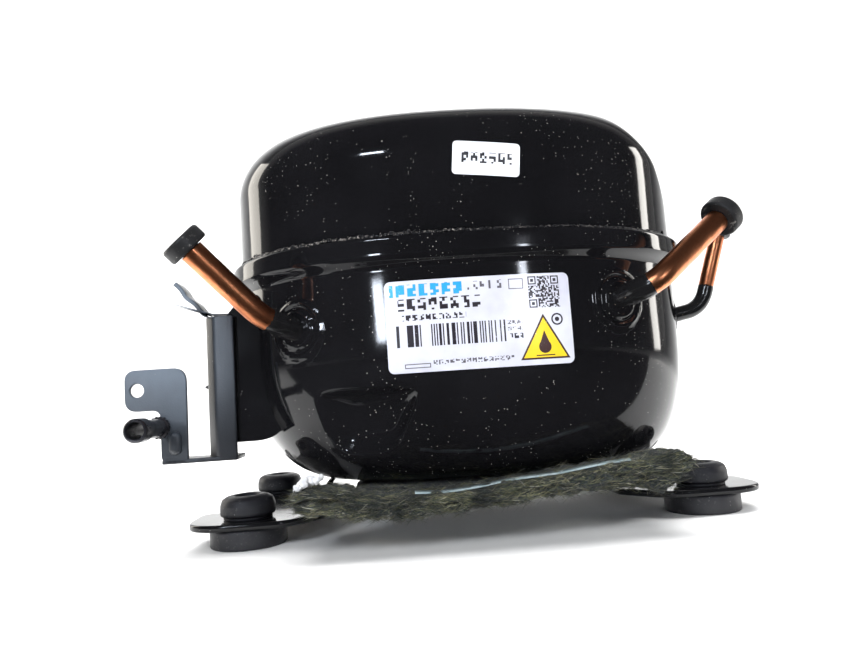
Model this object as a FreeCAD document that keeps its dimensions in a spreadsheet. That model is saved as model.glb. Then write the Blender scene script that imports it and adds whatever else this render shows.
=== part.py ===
import FreeCAD, Part
import math
import os
import re
import Sketcher

# Hermetic household-refrigerator compressor: a drawn steel pot and cap welded at a collar, four rubber
# feet, three copper stubs, a controller bracket, and inside it a spring-hung motor that drives a small
# piston pump through a Scotch yoke. Millimetres, +Z up, the origin on the ground at the centre of the
# four foot bores. +X is the right end of the side that carries the nameplate, and -Y is that side.

V = FreeCAD.Vector
doc = FreeCAD.newDocument("compressor")
parts = {}

# ---- Driving dimensions -------------------------------------------------------------------------------

DIMENSIONS = [
    ("foot_pitch_x", 170, "foot bores, along the shell"),
    ("foot_pitch_y", 70, "foot bores, across the shell"),
    ("foot_radius", 13.8, "lower disc of a foot"),
    ("foot_disc", 7, "height of that disc, up to the base plate"),
    ("foot_neck", 8, "neck that fills the base plate's hole"),
    ("foot_head", 10, "head above the base plate"),
    ("foot_top", 18, "top of a foot"),
    ("foot_bore", 4, "bore for the sleeve and bolt"),
    ("base_sheet", 2.5, "base plate sheet"),
    ("base_outer", 106, "tip of a base plate"),
    ("base_inner", 54, "inner edge of a base plate"),
    ("base_half", 49, "half width of a base plate"),
    ("taper_along", 14, "how far its inner corners are cut back, along the shell"),
    ("taper_across", 18, "how far they are cut back, across the shell"),
    ("saddle_half", 30, "half width of the saddle between a base plate and the pot"),
    ("saddle_reach", 9, "length of the saddle's two side walls along the base plate"),
    ("sticker_width", 23, "the plain sticker on the cap"),
    ("sticker_height", 11.5, "its height"),
    ("sticker_low", 122, "height of its lower edge"),
    ("half_length", 88.5, "shell, at its straight wall"),
    ("half_depth", 72.5, "shell, at its straight wall"),
    ("plan_exponent", 2.4, "superellipse exponent of the plan"),
    ("shell_wall", 3, "shell sheet"),
    ("shell_bottom", 20, "underside of the pot"),
    ("pot_top", 93, "where the collar flares out"),
    ("collar_flare", 3.5, "how far the collar stands out"),
    ("collar_top", 103, "the seam"),
    ("cap_foot", 96.2, "lower edge of the cap, inside the collar"),
    ("pot_round", 50, "height of the pot's rounded bottom"),
    ("round_left", 36, "its width at the left end"),
    ("round_right", 26, "its width at the right end"),
    ("round_depth", 25, "its width across"),
    ("cap_shoulder", 131, "level where the cap starts to round over"),
    ("cap_round", 18.5, "radius of that shoulder"),
    ("cap_flat", 62, "how far in from the wall the crown goes flat"),
    ("cap_crown", 6, "rise of the crown"),
    ("facet_reach", 150, "distance of the sloping right shoulder from the origin"),
    ("facet_slope", 42, "degrees below level of that shoulder"),
    ("flute_radius", 30, "flutes of that shoulder"),
    ("flute_depth", 3.5, "flutes of that shoulder"),
    ("flute_offset", 30, "flutes of that shoulder, from the middle"),
    ("bead_height", 2.2, "weld bead"),
    ("bead_width", 1.9, "weld bead"),
    ("tube_thick", 4, "suction and process tubes, outer radius"),
    ("tube_thin", 3, "discharge tube, outer radius"),
    ("tube_wall", 0.8, "copper tube wall"),
    ("bush_wall", 1.6, "steel bush brazed round a tube"),
    ("bush_length", 8, "steel bush"),
    ("plug_radius", 7, "head of a thick tube's plug"),
    ("plug_head", 5.2, "length of that head"),
    ("plug_spigot", 9, "length of a plug inside its tube"),
    ("label_width", 62, "nameplate"),
    ("label_height", 30.5, "nameplate"),
    ("label_low", 57.3, "its lower edge"),
    ("film", 0.25, "thickness of the nameplate and the sticker"),
    ("bracket_sheet", 1.6, "controller bracket sheet"),
    ("bracket_face", -46, "front of the bracket"),
    ("bracket_foot", 31.4, "underside of the bracket"),
    ("post_left", -96.2, "post of the bracket"),
    ("post_right", -85.6, "post of the bracket"),
    ("post_top", 83.2, "post of the bracket"),
    ("ear_left", -124.6, "plate of the bracket"),
    ("ear_right", -102.8, "plate of the bracket"),
    ("ear_top", 65.4, "plate of the bracket"),
    ("ear_step", 50.6, "its notch"),
    ("ear_neck", -112.3, "its notch"),
    ("ear_hole_x", -120.2, "hole in the bracket"),
    ("ear_hole_z", 58.1, "hole in the bracket"),
    ("ear_hole", 2.4, "radius of that hole"),
    ("boss_x", -112.7, "tubular standoff"),
    ("boss_z", 44.5, "tubular standoff"),
    ("boss_radius", 4, "tubular standoff"),
    ("boss_bore", 2.6, "tubular standoff"),
    ("boss_length", 23.5, "tubular standoff, ahead of the plate"),
    ("peg_x", 36, "suspension spring"),
    ("peg_y", 30, "suspension spring"),
    ("floor_level", 23, "inside floor of the pot"),
    ("spring_low", 25.3, "lower end of a spring"),
    ("spring_high", 43.6, "upper end of a spring"),
    ("spring_radius", 6.6, "mean radius of a spring"),
    ("spring_wire", 0.8, "wire radius"),
    ("stator_low", 48, "underside of the stator stack"),
    ("stator_high", 78, "top of the stator stack"),
    ("stator_radius", 52, "stator stack"),
    ("stator_bore", 27, "stator stack"),
    ("slot_inner", 30.5, "winding slots"),
    ("slot_outer", 38, "winding slots"),
    ("rotor_radius", 26.4, "outside of the magnets"),
    ("magnet_inner", 23.4, "inside of the magnets"),
    ("journal", 8, "crankshaft"),
    ("bearing_gap", 0.03, "running clearance of a journal"),
    ("deck_low", 90, "crankcase deck"),
    ("deck_high", 100, "crankcase deck"),
    ("deck_half_x", 50, "crankcase deck"),
    ("deck_half_y", 42, "crankcase deck"),
    ("web_high", 109, "top of the crank web"),
    ("throw", 8, "crank throw, half the stroke"),
    ("pin", 5.5, "crank pin"),
    ("web_radius", 13, "crank web"),
    ("button", 1, "radius of the carrier button let into the end of the crank pin"),
    ("button_low", 121.6, "underside of that button"),
    ("axis_level", 116, "axis of the cylinder"),
    ("yoke_half", 5.8, "half height of the yoke and slider"),
    ("slider_half_x", 9, "slider block"),
    ("slider_half_y", 10, "slider block"),
    ("bore_radius", 11.5, "cylinder"),
    ("crown_rest", -31.7, "piston crown at the outer dead point"),
    ("block_face", -48.4, "cylinder face under the valve plate"),
    ("block_inner", -24, "open end of the cylinder"),
    ("block_half", 19, "half width of the cylinder block and head"),
    ("gasket", 0.5, "gaskets"),
    ("plate_sheet", 2, "valve plate"),
    ("head_depth", 10.6, "cylinder head"),
    ("port", 2.4, "ports of the valve plate"),
]

sheet = doc.addObject("Spreadsheet::Sheet", "dims")
for row, (alias, value, meaning) in enumerate(DIMENSIONS, start=1):
    sheet.set("A%d" % row, alias)
    sheet.set("B%d" % row, str(value))
    sheet.set("C%d" % row, meaning)
    sheet.setAlias("B%d" % row, alias)
doc.recompute()


def dim(alias):
    """A driving dimension as a number, for the shapes that Part's functions make."""
    return float(sheet.get(alias))


def named(text):
    """An expression over the sheet: every alias in it gets the sheet's name in front."""
    return re.sub(r"[a-z][a-z_]+", r"dims.\g<0>", text)


# ---- Makers ------------------------------------------------------------------------------------------

AXES = {"X": V(1, 0, 0), "-X": V(-1, 0, 0), "Y": V(0, 1, 0), "-Y": V(0, -1, 0), "Z": V(0, 0, 1)}


def place(obj, at, axis="Z"):
    """Turns the object's own Z along an axis and binds its position to three expressions."""
    obj.Placement.Rotation = FreeCAD.Rotation(V(0, 0, 1), AXES[axis])
    for letter, text in zip("xyz", at):
        obj.setExpression("Placement.Base." + letter, named(text))
    return obj


def cylinder(radius, height, at, axis="Z", name="cylinder"):
    obj = doc.addObject("Part::Cylinder", name)
    obj.setExpression("Radius", named(radius))
    obj.setExpression("Height", named(height))
    return place(obj, at, axis)


def box(low, high, name="box"):
    """A box between two corners, each given as three expressions."""
    obj = doc.addObject("Part::Box", name)
    for prop, start, end in zip(("Length", "Width", "Height"), low, high):
        obj.setExpression(prop, named("( %s ) - ( %s )" % (end, start)))
    return place(obj, low)


def union(*pieces, name="union"):
    obj = doc.addObject("Part::MultiFuse", name)
    obj.Shapes = list(pieces)
    return obj


def minus(base, *tools, name="minus"):
    obj = doc.addObject("Part::Cut", name)
    obj.Base = base
    obj.Tool = tools[0] if len(tools) == 1 else union(*tools)
    return obj


def fixed(shape, name="fixed"):
    """A shape that Part's own functions have made from the sheet's numbers."""
    obj = doc.addObject("Part::Feature", name)
    obj.Shape = shape
    return obj


def keep(node, obj):
    """Registers a sub-part under the name of its node."""
    obj.Label = node
    parts[node] = obj
    return obj


def origin_plane(body, role):
    return next(f for f in body.Origin.OriginFeatures if f.Role == role)


def sketch(body, role, points, name):
    """A closed polygon on one of the body's own planes, each corner held by two bound distances."""
    obj = body.newObject("Sketcher::SketchObject", name)
    obj.AttachmentSupport = [(origin_plane(body, role), "")]
    obj.MapMode = "FlatFace"
    count = len(points)
    start = [tuple(float(doc_value(text)) for text in point) for point in points]
    for i in range(count):
        a, b = start[i], start[(i + 1) % count]
        obj.addGeometry(Part.LineSegment(V(a[0], a[1], 0), V(b[0], b[1], 0)), False)
    for i in range(count):
        obj.addConstraint(Sketcher.Constraint("Coincident", i, 2, (i + 1) % count, 1))
    for i, point in enumerate(points):
        for kind, text, value in zip(("DistanceX", "DistanceY"), point, start[i]):
            index = obj.addConstraint(Sketcher.Constraint(kind, -1, 1, i, 1, value))
            obj.setExpression("Constraints[%d]" % index, named(text))
    return obj


def doc_value(text):
    """The present value of an expression over the sheet."""
    value = sheet.evalExpression(named(text))
    return getattr(value, "Value", value)


def turned(node, profile, at=("0", "0", "0"), axis="Z"):
    """A turned piece: a body whose sketch of (radius, height) corners is revolved about its own Z."""
    body = doc.addObject("PartDesign::Body", node)
    outline = sketch(body, "XZ_Plane", profile, node + "_profile")
    turn = body.newObject("PartDesign::Revolution", node + "_turn")
    turn.Profile = outline
    turn.ReferenceAxis = (outline, ["V_Axis"])
    turn.Angle = 360
    return place(body, at, axis)


def profiled(node, role, outline, length, at=("0", "0", "0")):
    """A body whose sketched outline is padded along its plane's normal."""
    body = doc.addObject("PartDesign::Body", node)
    pad = body.newObject("PartDesign::Pad", node + "_pad")
    pad.Profile = sketch(body, role, outline, node + "_outline")
    pad.setExpression("Length", named(length))
    return place(body, at)


# ---- Shell -------------------------------------------------------------------------------------------
# Plan sections are superellipses. The pot's bottom and the cap's shoulder are quarter rounds in side
# view, each with its own width to the left, to the right and across, and the cap has a low crown.

SECTION_POINTS = 56
ROUND_STEPS = 9


def section(level, left, right, depth):
    """A closed superellipse at a level, with its own half length to the left and to the right."""
    power = 2 / dim("plan_exponent")
    points = []
    for i in range(SECTION_POINTS):
        turn = 2 * math.pi * i / SECTION_POINTS
        c, s = math.cos(turn), math.sin(turn)
        reach = right if c > 0 else left
        points.append(V(reach * math.copysign(abs(c) ** power, c), depth * math.copysign(abs(s) ** power, s), level))
    curve = Part.BSplineCurve()
    curve.interpolate(points, PeriodicFlag=True)
    return Part.Wire([curve.toShape()])


def rounding(share, power):
    """How much of a round's width is still cut away at this share of its height from the wall's end."""
    return 1 - (1 - share ** power) ** (1 / power)


def pot_solid(grow=0.0):
    """The pot as a closed solid, its wall moved outwards by grow, from its floor to the collar."""
    low, high = dim("shell_bottom") - grow, dim("shell_bottom") + dim("pot_round")
    wires = []
    for i in range(ROUND_STEPS + 1):
        share = math.cos(math.pi / 2 * i / ROUND_STEPS)
        sides = [reach + grow - (width + grow) * rounding(share, power)
                 for reach, width, power in ((dim("half_length"), dim("round_left"), 2.1),
                                             (dim("half_length"), dim("round_right"), 2.6),
                                             (dim("half_depth"), dim("round_depth"), 2.4))]
        wires.append(section(high - (high - low) * share, *sides))
    straight = dim("half_length") + grow, dim("half_length") + grow, dim("half_depth") + grow
    wires.append(section(dim("pot_top"), *straight))
    return Part.makeLoft(wires, True, True)


def ring(low, high, grow_low, grow_high):
    """A straight or flared solid between two levels, with the wall's plan grown at each."""
    wires = [section(level, dim("half_length") + grow, dim("half_length") + grow, dim("half_depth") + grow)
             for level, grow in ((low, grow_low), (high, grow_high))]
    return Part.makeLoft(wires, True, True)


def facet(grow=0.0):
    """What is cut off the cap's right shoulder: a sloping half space and two shallow flutes along it."""
    slope = math.radians(dim("facet_slope"))
    normal = V(math.sin(slope), 0, math.cos(slope))
    foot = normal * (dim("facet_reach") + grow)
    turn = FreeCAD.Rotation(V(0, 0, 1), normal)
    block = Part.makeBox(200, 200, 80, V(-100, -100, 0))
    block.Placement = FreeCAD.Placement(foot, turn)
    along = V(math.cos(slope), 0, -math.sin(slope))
    radius, depth = dim("flute_radius"), dim("flute_depth")
    for y in (-dim("flute_offset"), dim("flute_offset")):
        centre = normal * (dim("facet_reach") + radius - depth) + V(0, y, 0)
        block = block.fuse(Part.makeCylinder(radius - grow, 200, centre - along * 100, along))
    return block


def cap_solid(grow=0.0, low=None):
    """The cap as a closed solid, its wall moved outwards by grow, from its lower edge up."""
    shoulder, rise = dim("cap_shoulder"), dim("cap_round") + grow
    width, flat = dim("cap_round") + grow, dim("cap_flat")
    insets = [width * (1 - math.cos(math.pi / 2 * i / ROUND_STEPS)) for i in range(ROUND_STEPS + 1)]
    insets += [width + (flat - width) * share for share in (0.3, 0.6, 1)]
    straight = dim("half_length") + SKIRT + grow, dim("half_length") + SKIRT + grow, dim("half_depth") + SKIRT + grow
    wires = [section(low or dim("cap_foot"), *straight)]
    for inset in insets:
        left = max(0, 1 - inset / width)
        level = shoulder + rise * (1 - left ** 2.2) ** (1 / 2.2)
        level += dim("cap_crown") * (1 - (1 - inset / flat) ** 2)
        wires.append(section(level, *[reach - inset for reach in straight]))
    return Part.makeLoft(wires, True, True).cut(facet(grow))


SKIRT = 0.2  # the cap's wall stands this far outside the pot's, inside the collar


def wall_normal(x, y):
    """The outward normal of the straight wall's superellipse at a point of the plan."""
    n = dim("plan_exponent") - 1
    nx = math.copysign(abs(x / dim("half_length")) ** n, x) / dim("half_length")
    ny = math.copysign(abs(y / dim("half_depth")) ** n, y) / dim("half_depth")
    return V(nx, ny, 0).normalize()


# Each tube: where it leaves the wall, its elbow, its end, its outer radius and where its paint stops.
TUBES = {
    "process": (V(-60, -57, 75), V(-70, -67, 78), V(-90.5, -78, 100.5), "tube_thick"),
    "suction": (V(50, -62.5, 78.5), V(59.5, -75, 81.5), V(88, -65, 104), "tube_thick"),
    "discharge": (V(86.5, -17, 75.5), V(100.5, -17, 78.3), V(110.5, -17, 108), "tube_thin"),
}


def bend_radius(start, elbow, end):
    """The arc's radius: 0.45 of the shorter run over the tangent of half the turn."""
    before, after = (elbow - start), (end - elbow)
    turn = before.getAngle(after)
    return 0.45 * min(before.Length, after.Length) / math.tan(turn / 2)


def route(start, elbow, end):
    """Two straight runs joined by a tangent arc."""
    before, after = (elbow - start).normalize(), (end - elbow).normalize()
    radius = bend_radius(start, elbow, end)
    setback = radius * math.tan(before.getAngle(after) / 2)
    enter, leave = elbow - before * setback, elbow + after * setback
    inward = (after - before).normalize()
    centre = elbow + inward * (radius / math.cos(before.getAngle(after) / 2))
    middle = centre - inward * radius
    return Part.Wire([Part.LineSegment(start, enter).toShape(), Part.Arc(enter, middle, leave).toShape(),
                      Part.LineSegment(leave, end).toShape()])


def swept(path, radius, start, heading):
    """A round bar of this radius along a path."""
    circle = Part.Wire([Part.Circle(start, heading, radius).toShape()])
    return path.makePipeShell([circle], True, False)


def tube(start, elbow, end, outer, wall):
    path, heading = route(start, elbow, end), elbow - start
    return swept(path, outer, start, heading).cut(swept(path, outer - wall, start, heading))


def rod(start, end, radius):
    return Part.makeCylinder(radius, (end - start).Length, start, end - start)


def build_shell():
    """The pot with its collar, pressed pocket and tube holes, the cap, and the weld bead."""
    wall, flare = dim("shell_wall"), dim("collar_flare")
    pot_top, collar_top = dim("pot_top"), dim("collar_top")
    outside = pot_solid().fuse(ring(pot_top - 0.5, pot_top + 3, 0, flare)).fuse(
        ring(pot_top + 3, collar_top, flare, flare))
    inside = pot_solid(-wall)
    ledge = ring(pot_top - 0.01, dim("cap_foot"), -wall, -wall)
    socket = ring(dim("cap_foot"), collar_top + 1, SKIRT + 0.1, SKIRT + 0.1)
    dent_ball = V(-38.5, -91, 42)
    pocket = Part.makeSphere(25.5, dent_ball)
    backing = Part.makeSphere(25.5 + wall, dent_ball).common(pot_solid(-0.5))
    shell = outside.cut(inside).fuse(backing).cut(pocket).cut(ledge).cut(socket)
    for start, _, _, outer in TUBES.values():
        normal = wall_normal(start.x, start.y)
        shell = shell.fuse(rod(start - normal * 3, start + normal * 1.2, 10.5 if outer == "tube_thick" else 8.5))
        shell = shell.cut(rod(start - normal * 9, start + normal * 9, dim(outer) + dim("bush_wall")))
    terminal_hole = rod(V(-95, 0, 62), V(-70, 0, 62), 15.2)
    keep("lower_shell", fixed(shell.cut(inside).cut(terminal_hole), "lower_shell"))
    hollow = cap_solid(-wall, dim("cap_foot") - 1)
    keep("upper_shell", fixed(cap_solid().cut(hollow), "upper_shell"))
    bead_top = collar_top + dim("bead_height")
    bead = ring(collar_top, bead_top, SKIRT + dim("bead_width") + 0.6, SKIRT + dim("bead_width") - 0.9)
    keep("weld_bead", fixed(bead.cut(ring(collar_top - 1, bead_top + 1, SKIRT + 0.1, SKIRT + 0.1)), "weld_bead"))


def build_labels():
    """The nameplate on the pot's front and the plain sticker on the cap: films that follow the wall."""
    low, half = dim("label_low"), dim("label_width") / 2
    window = Part.makeBox(2 * half, 40, dim("label_height"), V(1 - half, -90, low))
    plate = pot_solid(dim("film")).common(window).cut(pot_solid(0.01))
    keep("nameplate", fixed(plate, "nameplate"))
    wide, tall = dim("sticker_width"), dim("sticker_height")
    window = Part.makeBox(wide, 60, tall, V(7 - wide / 2, -90, dim("sticker_low")))
    keep("plain_sticker", fixed(cap_solid(dim("film")).common(window).cut(cap_solid(0.01)), "plain_sticker"))


def build_tubes():
    """Three copper stubs, their brazed steel bushes and the rubber plugs in their ends."""
    for name, (start, elbow, end, alias) in TUBES.items():
        outer, wall = dim(alias), dim("tube_wall")
        normal = wall_normal(start.x, start.y)
        root = start - normal * dim("bush_length")
        print(name, "tube: bend radius", round(bend_radius(start, elbow, end), 1))
        keep(name + "_tube", fixed(tube(start, elbow, end, outer, wall), name + "_tube"))
        sleeve = rod(root, start, outer + dim("bush_wall")).cut(rod(root - normal, start + normal, outer - wall))
        bar = swept(route(start, elbow, end), outer, start, elbow - start)
        keep(name + "_bush", fixed(sleeve.cut(bar), name + "_bush"))
        heading = (end - elbow).normalize()
        head = dim("plug_radius") if alias == "tube_thick" else 5
        depth = dim("plug_spigot")
        plug = rod(end + heading * 0.3, end + heading * (0.3 + dim("plug_head")), head).fuse(
            rod(end - heading * depth, end + heading * 0.5, outer - wall - 0.05))
        keep(name + "_plug", fixed(plug, name + "_plug"))


# ---- Base --------------------------------------------------------------------------------------------


def rounded_plate(side):
    """A base plate: rounded corners round the feet, cut-back inner corners, two foot holes, a low saddle."""
    outer, inner, half = dim("base_outer"), dim("base_inner"), dim("base_half")
    low, thick, radius = dim("foot_disc"), dim("base_sheet"), 15
    plate = Part.makeBox(outer - inner, 2 * half, thick, V(inner, -half, low))
    corners = [edge for edge in plate.Edges
               if abs(edge.BoundBox.ZLength - thick) < 1e-6 and edge.BoundBox.XMax > outer - 1]
    plate = plate.makeFillet(radius, corners)
    along, across = dim("taper_along"), dim("taper_across")
    for sign in (-1, 1):
        corner = [V(inner, sign * (half - across), low), V(inner, sign * half, low), V(inner + along, sign * half, low)]
        plate = plate.cut(Part.Face(Part.makePolygon(corner + corner[:1])).extrude(V(0, 0, thick)))
    foot_y = dim("foot_pitch_y") / 2
    waist = Part.makeBox(30, 2 * (foot_y - 17), thick + 2, V(outer - 16, -(foot_y - 17), low - 1))
    plate = plate.cut(waist)
    for y in (-foot_y, foot_y):
        plate = plate.cut(rod(V(dim("foot_pitch_x") / 2, y, low - 1), V(dim("foot_pitch_x") / 2, y, low + 9),
                              dim("foot_neck") + 0.05))
    saddle, reach, top = dim("saddle_half"), dim("saddle_reach"), dim("shell_bottom") + 3
    plate = plate.fuse(Part.makeBox(thick, 2 * saddle, top - low, V(inner, -saddle, low)))
    for y in (-saddle, saddle - thick):
        plate = plate.fuse(Part.makeBox(reach, thick, top - low, V(inner, y, low)))
    if side < 0:
        plate = plate.mirror(V(0, 0, 0), V(1, 0, 0))
    return plate.cut(pot_solid(0.1))


def build_base():
    """Two base plates and the four rubber feet pressed into them."""
    for name, side in (("left", -1), ("right", 1)):
        keep("base_plate_" + name, fixed(rounded_plate(side), "base_plate_" + name))
        for end, across in (("front", -1), ("back", 1)):
            profile = [("foot_bore", "0"), ("foot_radius", "0"), ("foot_radius", "foot_disc"),
                       ("foot_neck", "foot_disc"), ("foot_neck", "foot_disc + base_sheet"),
                       ("foot_head", "foot_disc + base_sheet"), ("foot_head", "foot_top - 1.5"),
                       ("foot_head - 2.5", "foot_top"), ("foot_bore", "foot_top")]
            at = ("foot_pitch_x / 2 * %d" % side, "foot_pitch_y / 2 * %d" % across, "0")
            node = "foot_%s_%s" % (end, name)
            keep(node, turned(node, profile, at))


def build_mat():
    """The folded felt mat under the belly's front edge, a plain closed solid."""
    lower = [(-63, 16.5), (-57.5, 14.1), (-49, 14), (-41, 12.2), (-31, 10.8), (-16, 11.9), (12, 13.9), (32, 16.2),
             (45, 15.4), (52, 15.7), (56, 12.8), (61, 15.4), (65, 19.7), (67, 23)]
    upper = [(66, 25.2), (63, 26), (48, 24), (24, 21.5), (0, 19), (-16, 17.8), (-30, 18.5), (-41, 19.8),
             (-52, 21.5), (-62, 22)]
    outline = [V(x, 0, z) for x, z in lower + upper + lower[:1]]
    front = Part.Face(Part.makePolygon(outline)).extrude(V(0, 24, 0))
    front.translate(V(0, -76, 0))
    under = Part.makeBox(98, 42, 5.6, V(-46, -53, 14))
    keep("felt_mat", fixed(front.fuse(under).cut(pot_solid(0.4)), "felt_mat"))


# ---- Controller bracket ------------------------------------------------------------------------------


def build_bracket():
    """Sheet-steel bracket: a post, a lower arm, a notched ear with a hole, a sloping tab and a standoff."""
    face, thick = "bracket_face", "bracket_sheet"
    arm_depth = "14"
    post = box(("post_left", face, "bracket_foot"), ("post_right", "bracket_face + bracket_sheet", "post_top"))
    return_wall = box(("post_left", face, "bracket_foot"),
                      ("post_left + bracket_sheet", "bracket_face + " + arm_depth, "post_top"))
    arm = box(("ear_neck", face, "bracket_foot"),
              ("post_right", "bracket_face + " + arm_depth, "bracket_foot + bracket_sheet"))
    ear_outline = [("ear_right", "bracket_foot"), ("ear_right", "ear_top"), ("ear_left", "ear_top"),
                   ("ear_left", "ear_step"), ("ear_neck", "ear_step"), ("ear_neck", "bracket_foot")]
    ear = profiled("bracket_ear", "XZ_Plane", ear_outline, thick, ("0", "bracket_face + bracket_sheet", "0"))
    tab_outline = [("post_left + 1.5", "post_top"), ("post_left + 1.5", "post_top - bracket_sheet"),
                   ("post_left + 1", "post_top - bracket_sheet"), ("post_left - 10.4", "post_top + 12.2"),
                   ("post_left - 9.2", "post_top + 13.4")]
    tab = profiled("bracket_tab", "XZ_Plane", tab_outline, "10", ("0", "bracket_face + 10", "0"))
    hole = cylinder("ear_hole", "10", ("ear_hole_x", "bracket_face - 5", "ear_hole_z"), "Y")
    boss_hole = cylinder("boss_bore", "10", ("boss_x", "bracket_face - 5", "boss_z"), "Y")
    body = union(post, return_wall, arm, ear, tab)
    keep("controller_bracket", minus(body, hole, boss_hole))
    profile = [("boss_bore", "0"), ("boss_radius", "0"), ("boss_radius", "boss_length"),
               ("boss_bore", "boss_length")]
    keep("ground_boss", turned("ground_boss", profile, ("boss_x", "bracket_face", "boss_z"), "-Y"))


def build_terminals():
    """The hermetic terminal in the left end, its three pins, and the sheet guard round it."""
    level = "62"
    flange = [("0", "0"), ("15", "0"), ("15", "5"), ("17.5", "5"), ("17.5", "6.5"), ("13", "6.5"),
              ("13", "2.5"), ("0", "2.5")]
    pins, holes = [[cylinder("1.2", "17", ("-80", y, z), "-X")
                    for y, z in (("0", "67"), ("-4.4", "59.4"), ("4.4", "59.4"))] for _ in range(2)]
    keep("terminal_body", minus(turned("terminal_body", flange, ("-84", "0", level), "-X"), *holes))
    keep("terminal_pins", union(*pins))
    thick = dim("bracket_sheet")
    half, low, high, edge = 43, 37.4, 93, -94.4
    outline = [V(edge, 0, low), V(-74, 0, low), V(-66, 0, 44), V(-66, 0, 90), V(-80, 0, high), V(edge, 0, high)]
    outline.append(outline[0])
    cheek = Part.Face(Part.makePolygon(outline)).extrude(V(0, thick, 0))
    front, back = cheek.translated(V(0, -half, 0)), cheek.translated(V(0, half - thick, 0))
    strip = Part.makeBox(6, 2 * half, thick, V(edge, -half, low))
    guard = front.fuse(back).fuse(strip).cut(pot_solid(0.1)).cut(ring(dim("pot_top") - 0.6, 110, 4, 4))
    keep("terminal_guard", fixed(guard, "terminal_guard"))


# ---- Suspension and motor ----------------------------------------------------------------------------

CORNERS = [("front_left", -1, -1), ("front_right", 1, -1), ("back_left", -1, 1), ("back_right", 1, 1)]


def corner(side, across):
    return "peg_x * %d" % side, "peg_y * %d" % across


def build_suspension():
    """Four coil springs between pegs on the pot's floor and the heads of the stator bolts."""
    turns = 5
    for name, side, across in CORNERS:
        x, y = corner(side, across)
        profile = [("0", "0"), ("7.8", "0"), ("7.8", "1.6"), ("5", "1.6"), ("5", "6.4"), ("3.6", "8"), ("0", "8")]
        keep("floor_peg_" + name, turned("floor_peg_" + name, profile, (x, y, "floor_level + 0.2")))
        radius, wire = dim("spring_radius"), dim("spring_wire")
        height = dim("spring_high") - dim("spring_low") - 2 * wire
        helix = Part.makeHelix(height / turns, height, radius)
        circle = Part.Wire([Part.Circle(V(radius, 0, 0), V(0, 1, 0), wire).toShape()])
        coil = Part.Wire(helix.Edges).makePipeShell([circle], True, True)
        coil.translate(V(side * dim("peg_x"), across * dim("peg_y"), dim("spring_low") + wire))
        keep("spring_" + name, fixed(coil, "spring_" + name))


def build_motor():
    """Nine-slot stator with its windings and long bolts; rotor core, ring magnet and end plates."""
    slots = 9
    stack = "stator_high - stator_low"
    body = cylinder("stator_radius", stack, ("0", "0", "stator_low"))
    tools = [cylinder("stator_bore", stack + " + 2", ("0", "0", "stator_low - 1"))]
    tools += [cylinder("2.6", stack + " + 2", corner(side, across) + ("stator_low - 1",))
              for _, side, across in CORNERS]
    tooth = 7
    inner, outer, low = dim("slot_inner"), dim("slot_outer"), dim("stator_low")
    height = dim("stator_high") - low
    annulus = Part.makeCylinder(outer, height + 2, V(0, 0, low - 1)).cut(
        Part.makeCylinder(inner, height + 4, V(0, 0, low - 2)))
    for i in range(slots):
        wedge = Part.makeBox(outer, tooth, height + 6, V(0, -tooth / 2, low - 3))
        wedge.rotate(V(0, 0, 0), V(0, 0, 1), i * 360 / slots)
        annulus = annulus.cut(wedge)
    slot_space = fixed(annulus, "slot_space")
    keep("stator_core", minus(body, slot_space, *tools))
    band = Part.makeCylinder(outer - 0.4, height + 9, V(0, 0, low - 4.5)).cut(
        Part.makeCylinder(inner + 0.4, height + 20, V(0, 0, low - 10)))
    for i in range(slots):
        wedge = Part.makeBox(outer, tooth + 0.8, height + 0.6, V(0, -(tooth + 0.8) / 2, low - 0.3))
        wedge.rotate(V(0, 0, 0), V(0, 0, 1), i * 360 / slots)
        band = band.cut(wedge)
    keep("stator_windings", fixed(band, "stator_windings"))
    for name, side, across in CORNERS:
        profile = [("0", "-8"), ("3.6", "-8"), ("5", "-6.4"), ("5", "-2"), ("7.2", "-2"), ("7.2", "0"),
                   ("2.5", "0"), ("2.5", "stator_high - stator_low + 10"), ("0", "stator_high - stator_low + 10")]
        at = corner(side, across) + ("stator_low - 0.1",)
        keep("stator_bolt_" + name, turned("stator_bolt_" + name, profile, at))
    core = [("journal", "stator_low + 1"), ("magnet_inner", "stator_low + 1"),
            ("magnet_inner", "stator_high - 1"), ("journal", "stator_high - 1")]
    keep("rotor_core", turned("rotor_core", core))
    magnets = [("magnet_inner", "stator_low + 1"), ("rotor_radius", "stator_low + 1"),
               ("rotor_radius", "stator_high - 1"), ("magnet_inner", "stator_high - 1")]
    keep("rotor_magnets", turned("rotor_magnets", magnets))


# ---- Pump --------------------------------------------------------------------------------------------


def build_crankcase():
    """Cast deck on four legs with the main bearing and the cylinder block."""
    deck = box(("-deck_half_x", "-deck_half_y", "deck_low"), ("deck_half_x", "deck_half_y", "deck_high"))
    hub = cylinder("14", "11", ("0", "0", "deck_low - 10"))
    block = box(("block_face", "-block_half", "deck_high - 1"),
                ("block_inner", "block_half", "axis_level + block_half - 1"))
    legs = [cylinder("7", "deck_low - stator_high + 1", corner(side, across) + ("stator_high",))
            for _, side, across in CORNERS]
    holes = [cylinder("2.6", "11", corner(side, across) + ("stator_high - 1",)) for _, side, across in CORNERS]
    bearing = cylinder("journal + bearing_gap", "40", ("0", "0", "deck_low - 20"))
    bore = cylinder("bore_radius", "40", ("block_face - 5", "0", "axis_level"), "X")
    keep("crankcase", minus(union(deck, hub, block, *legs), bearing, bore, *holes))


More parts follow.
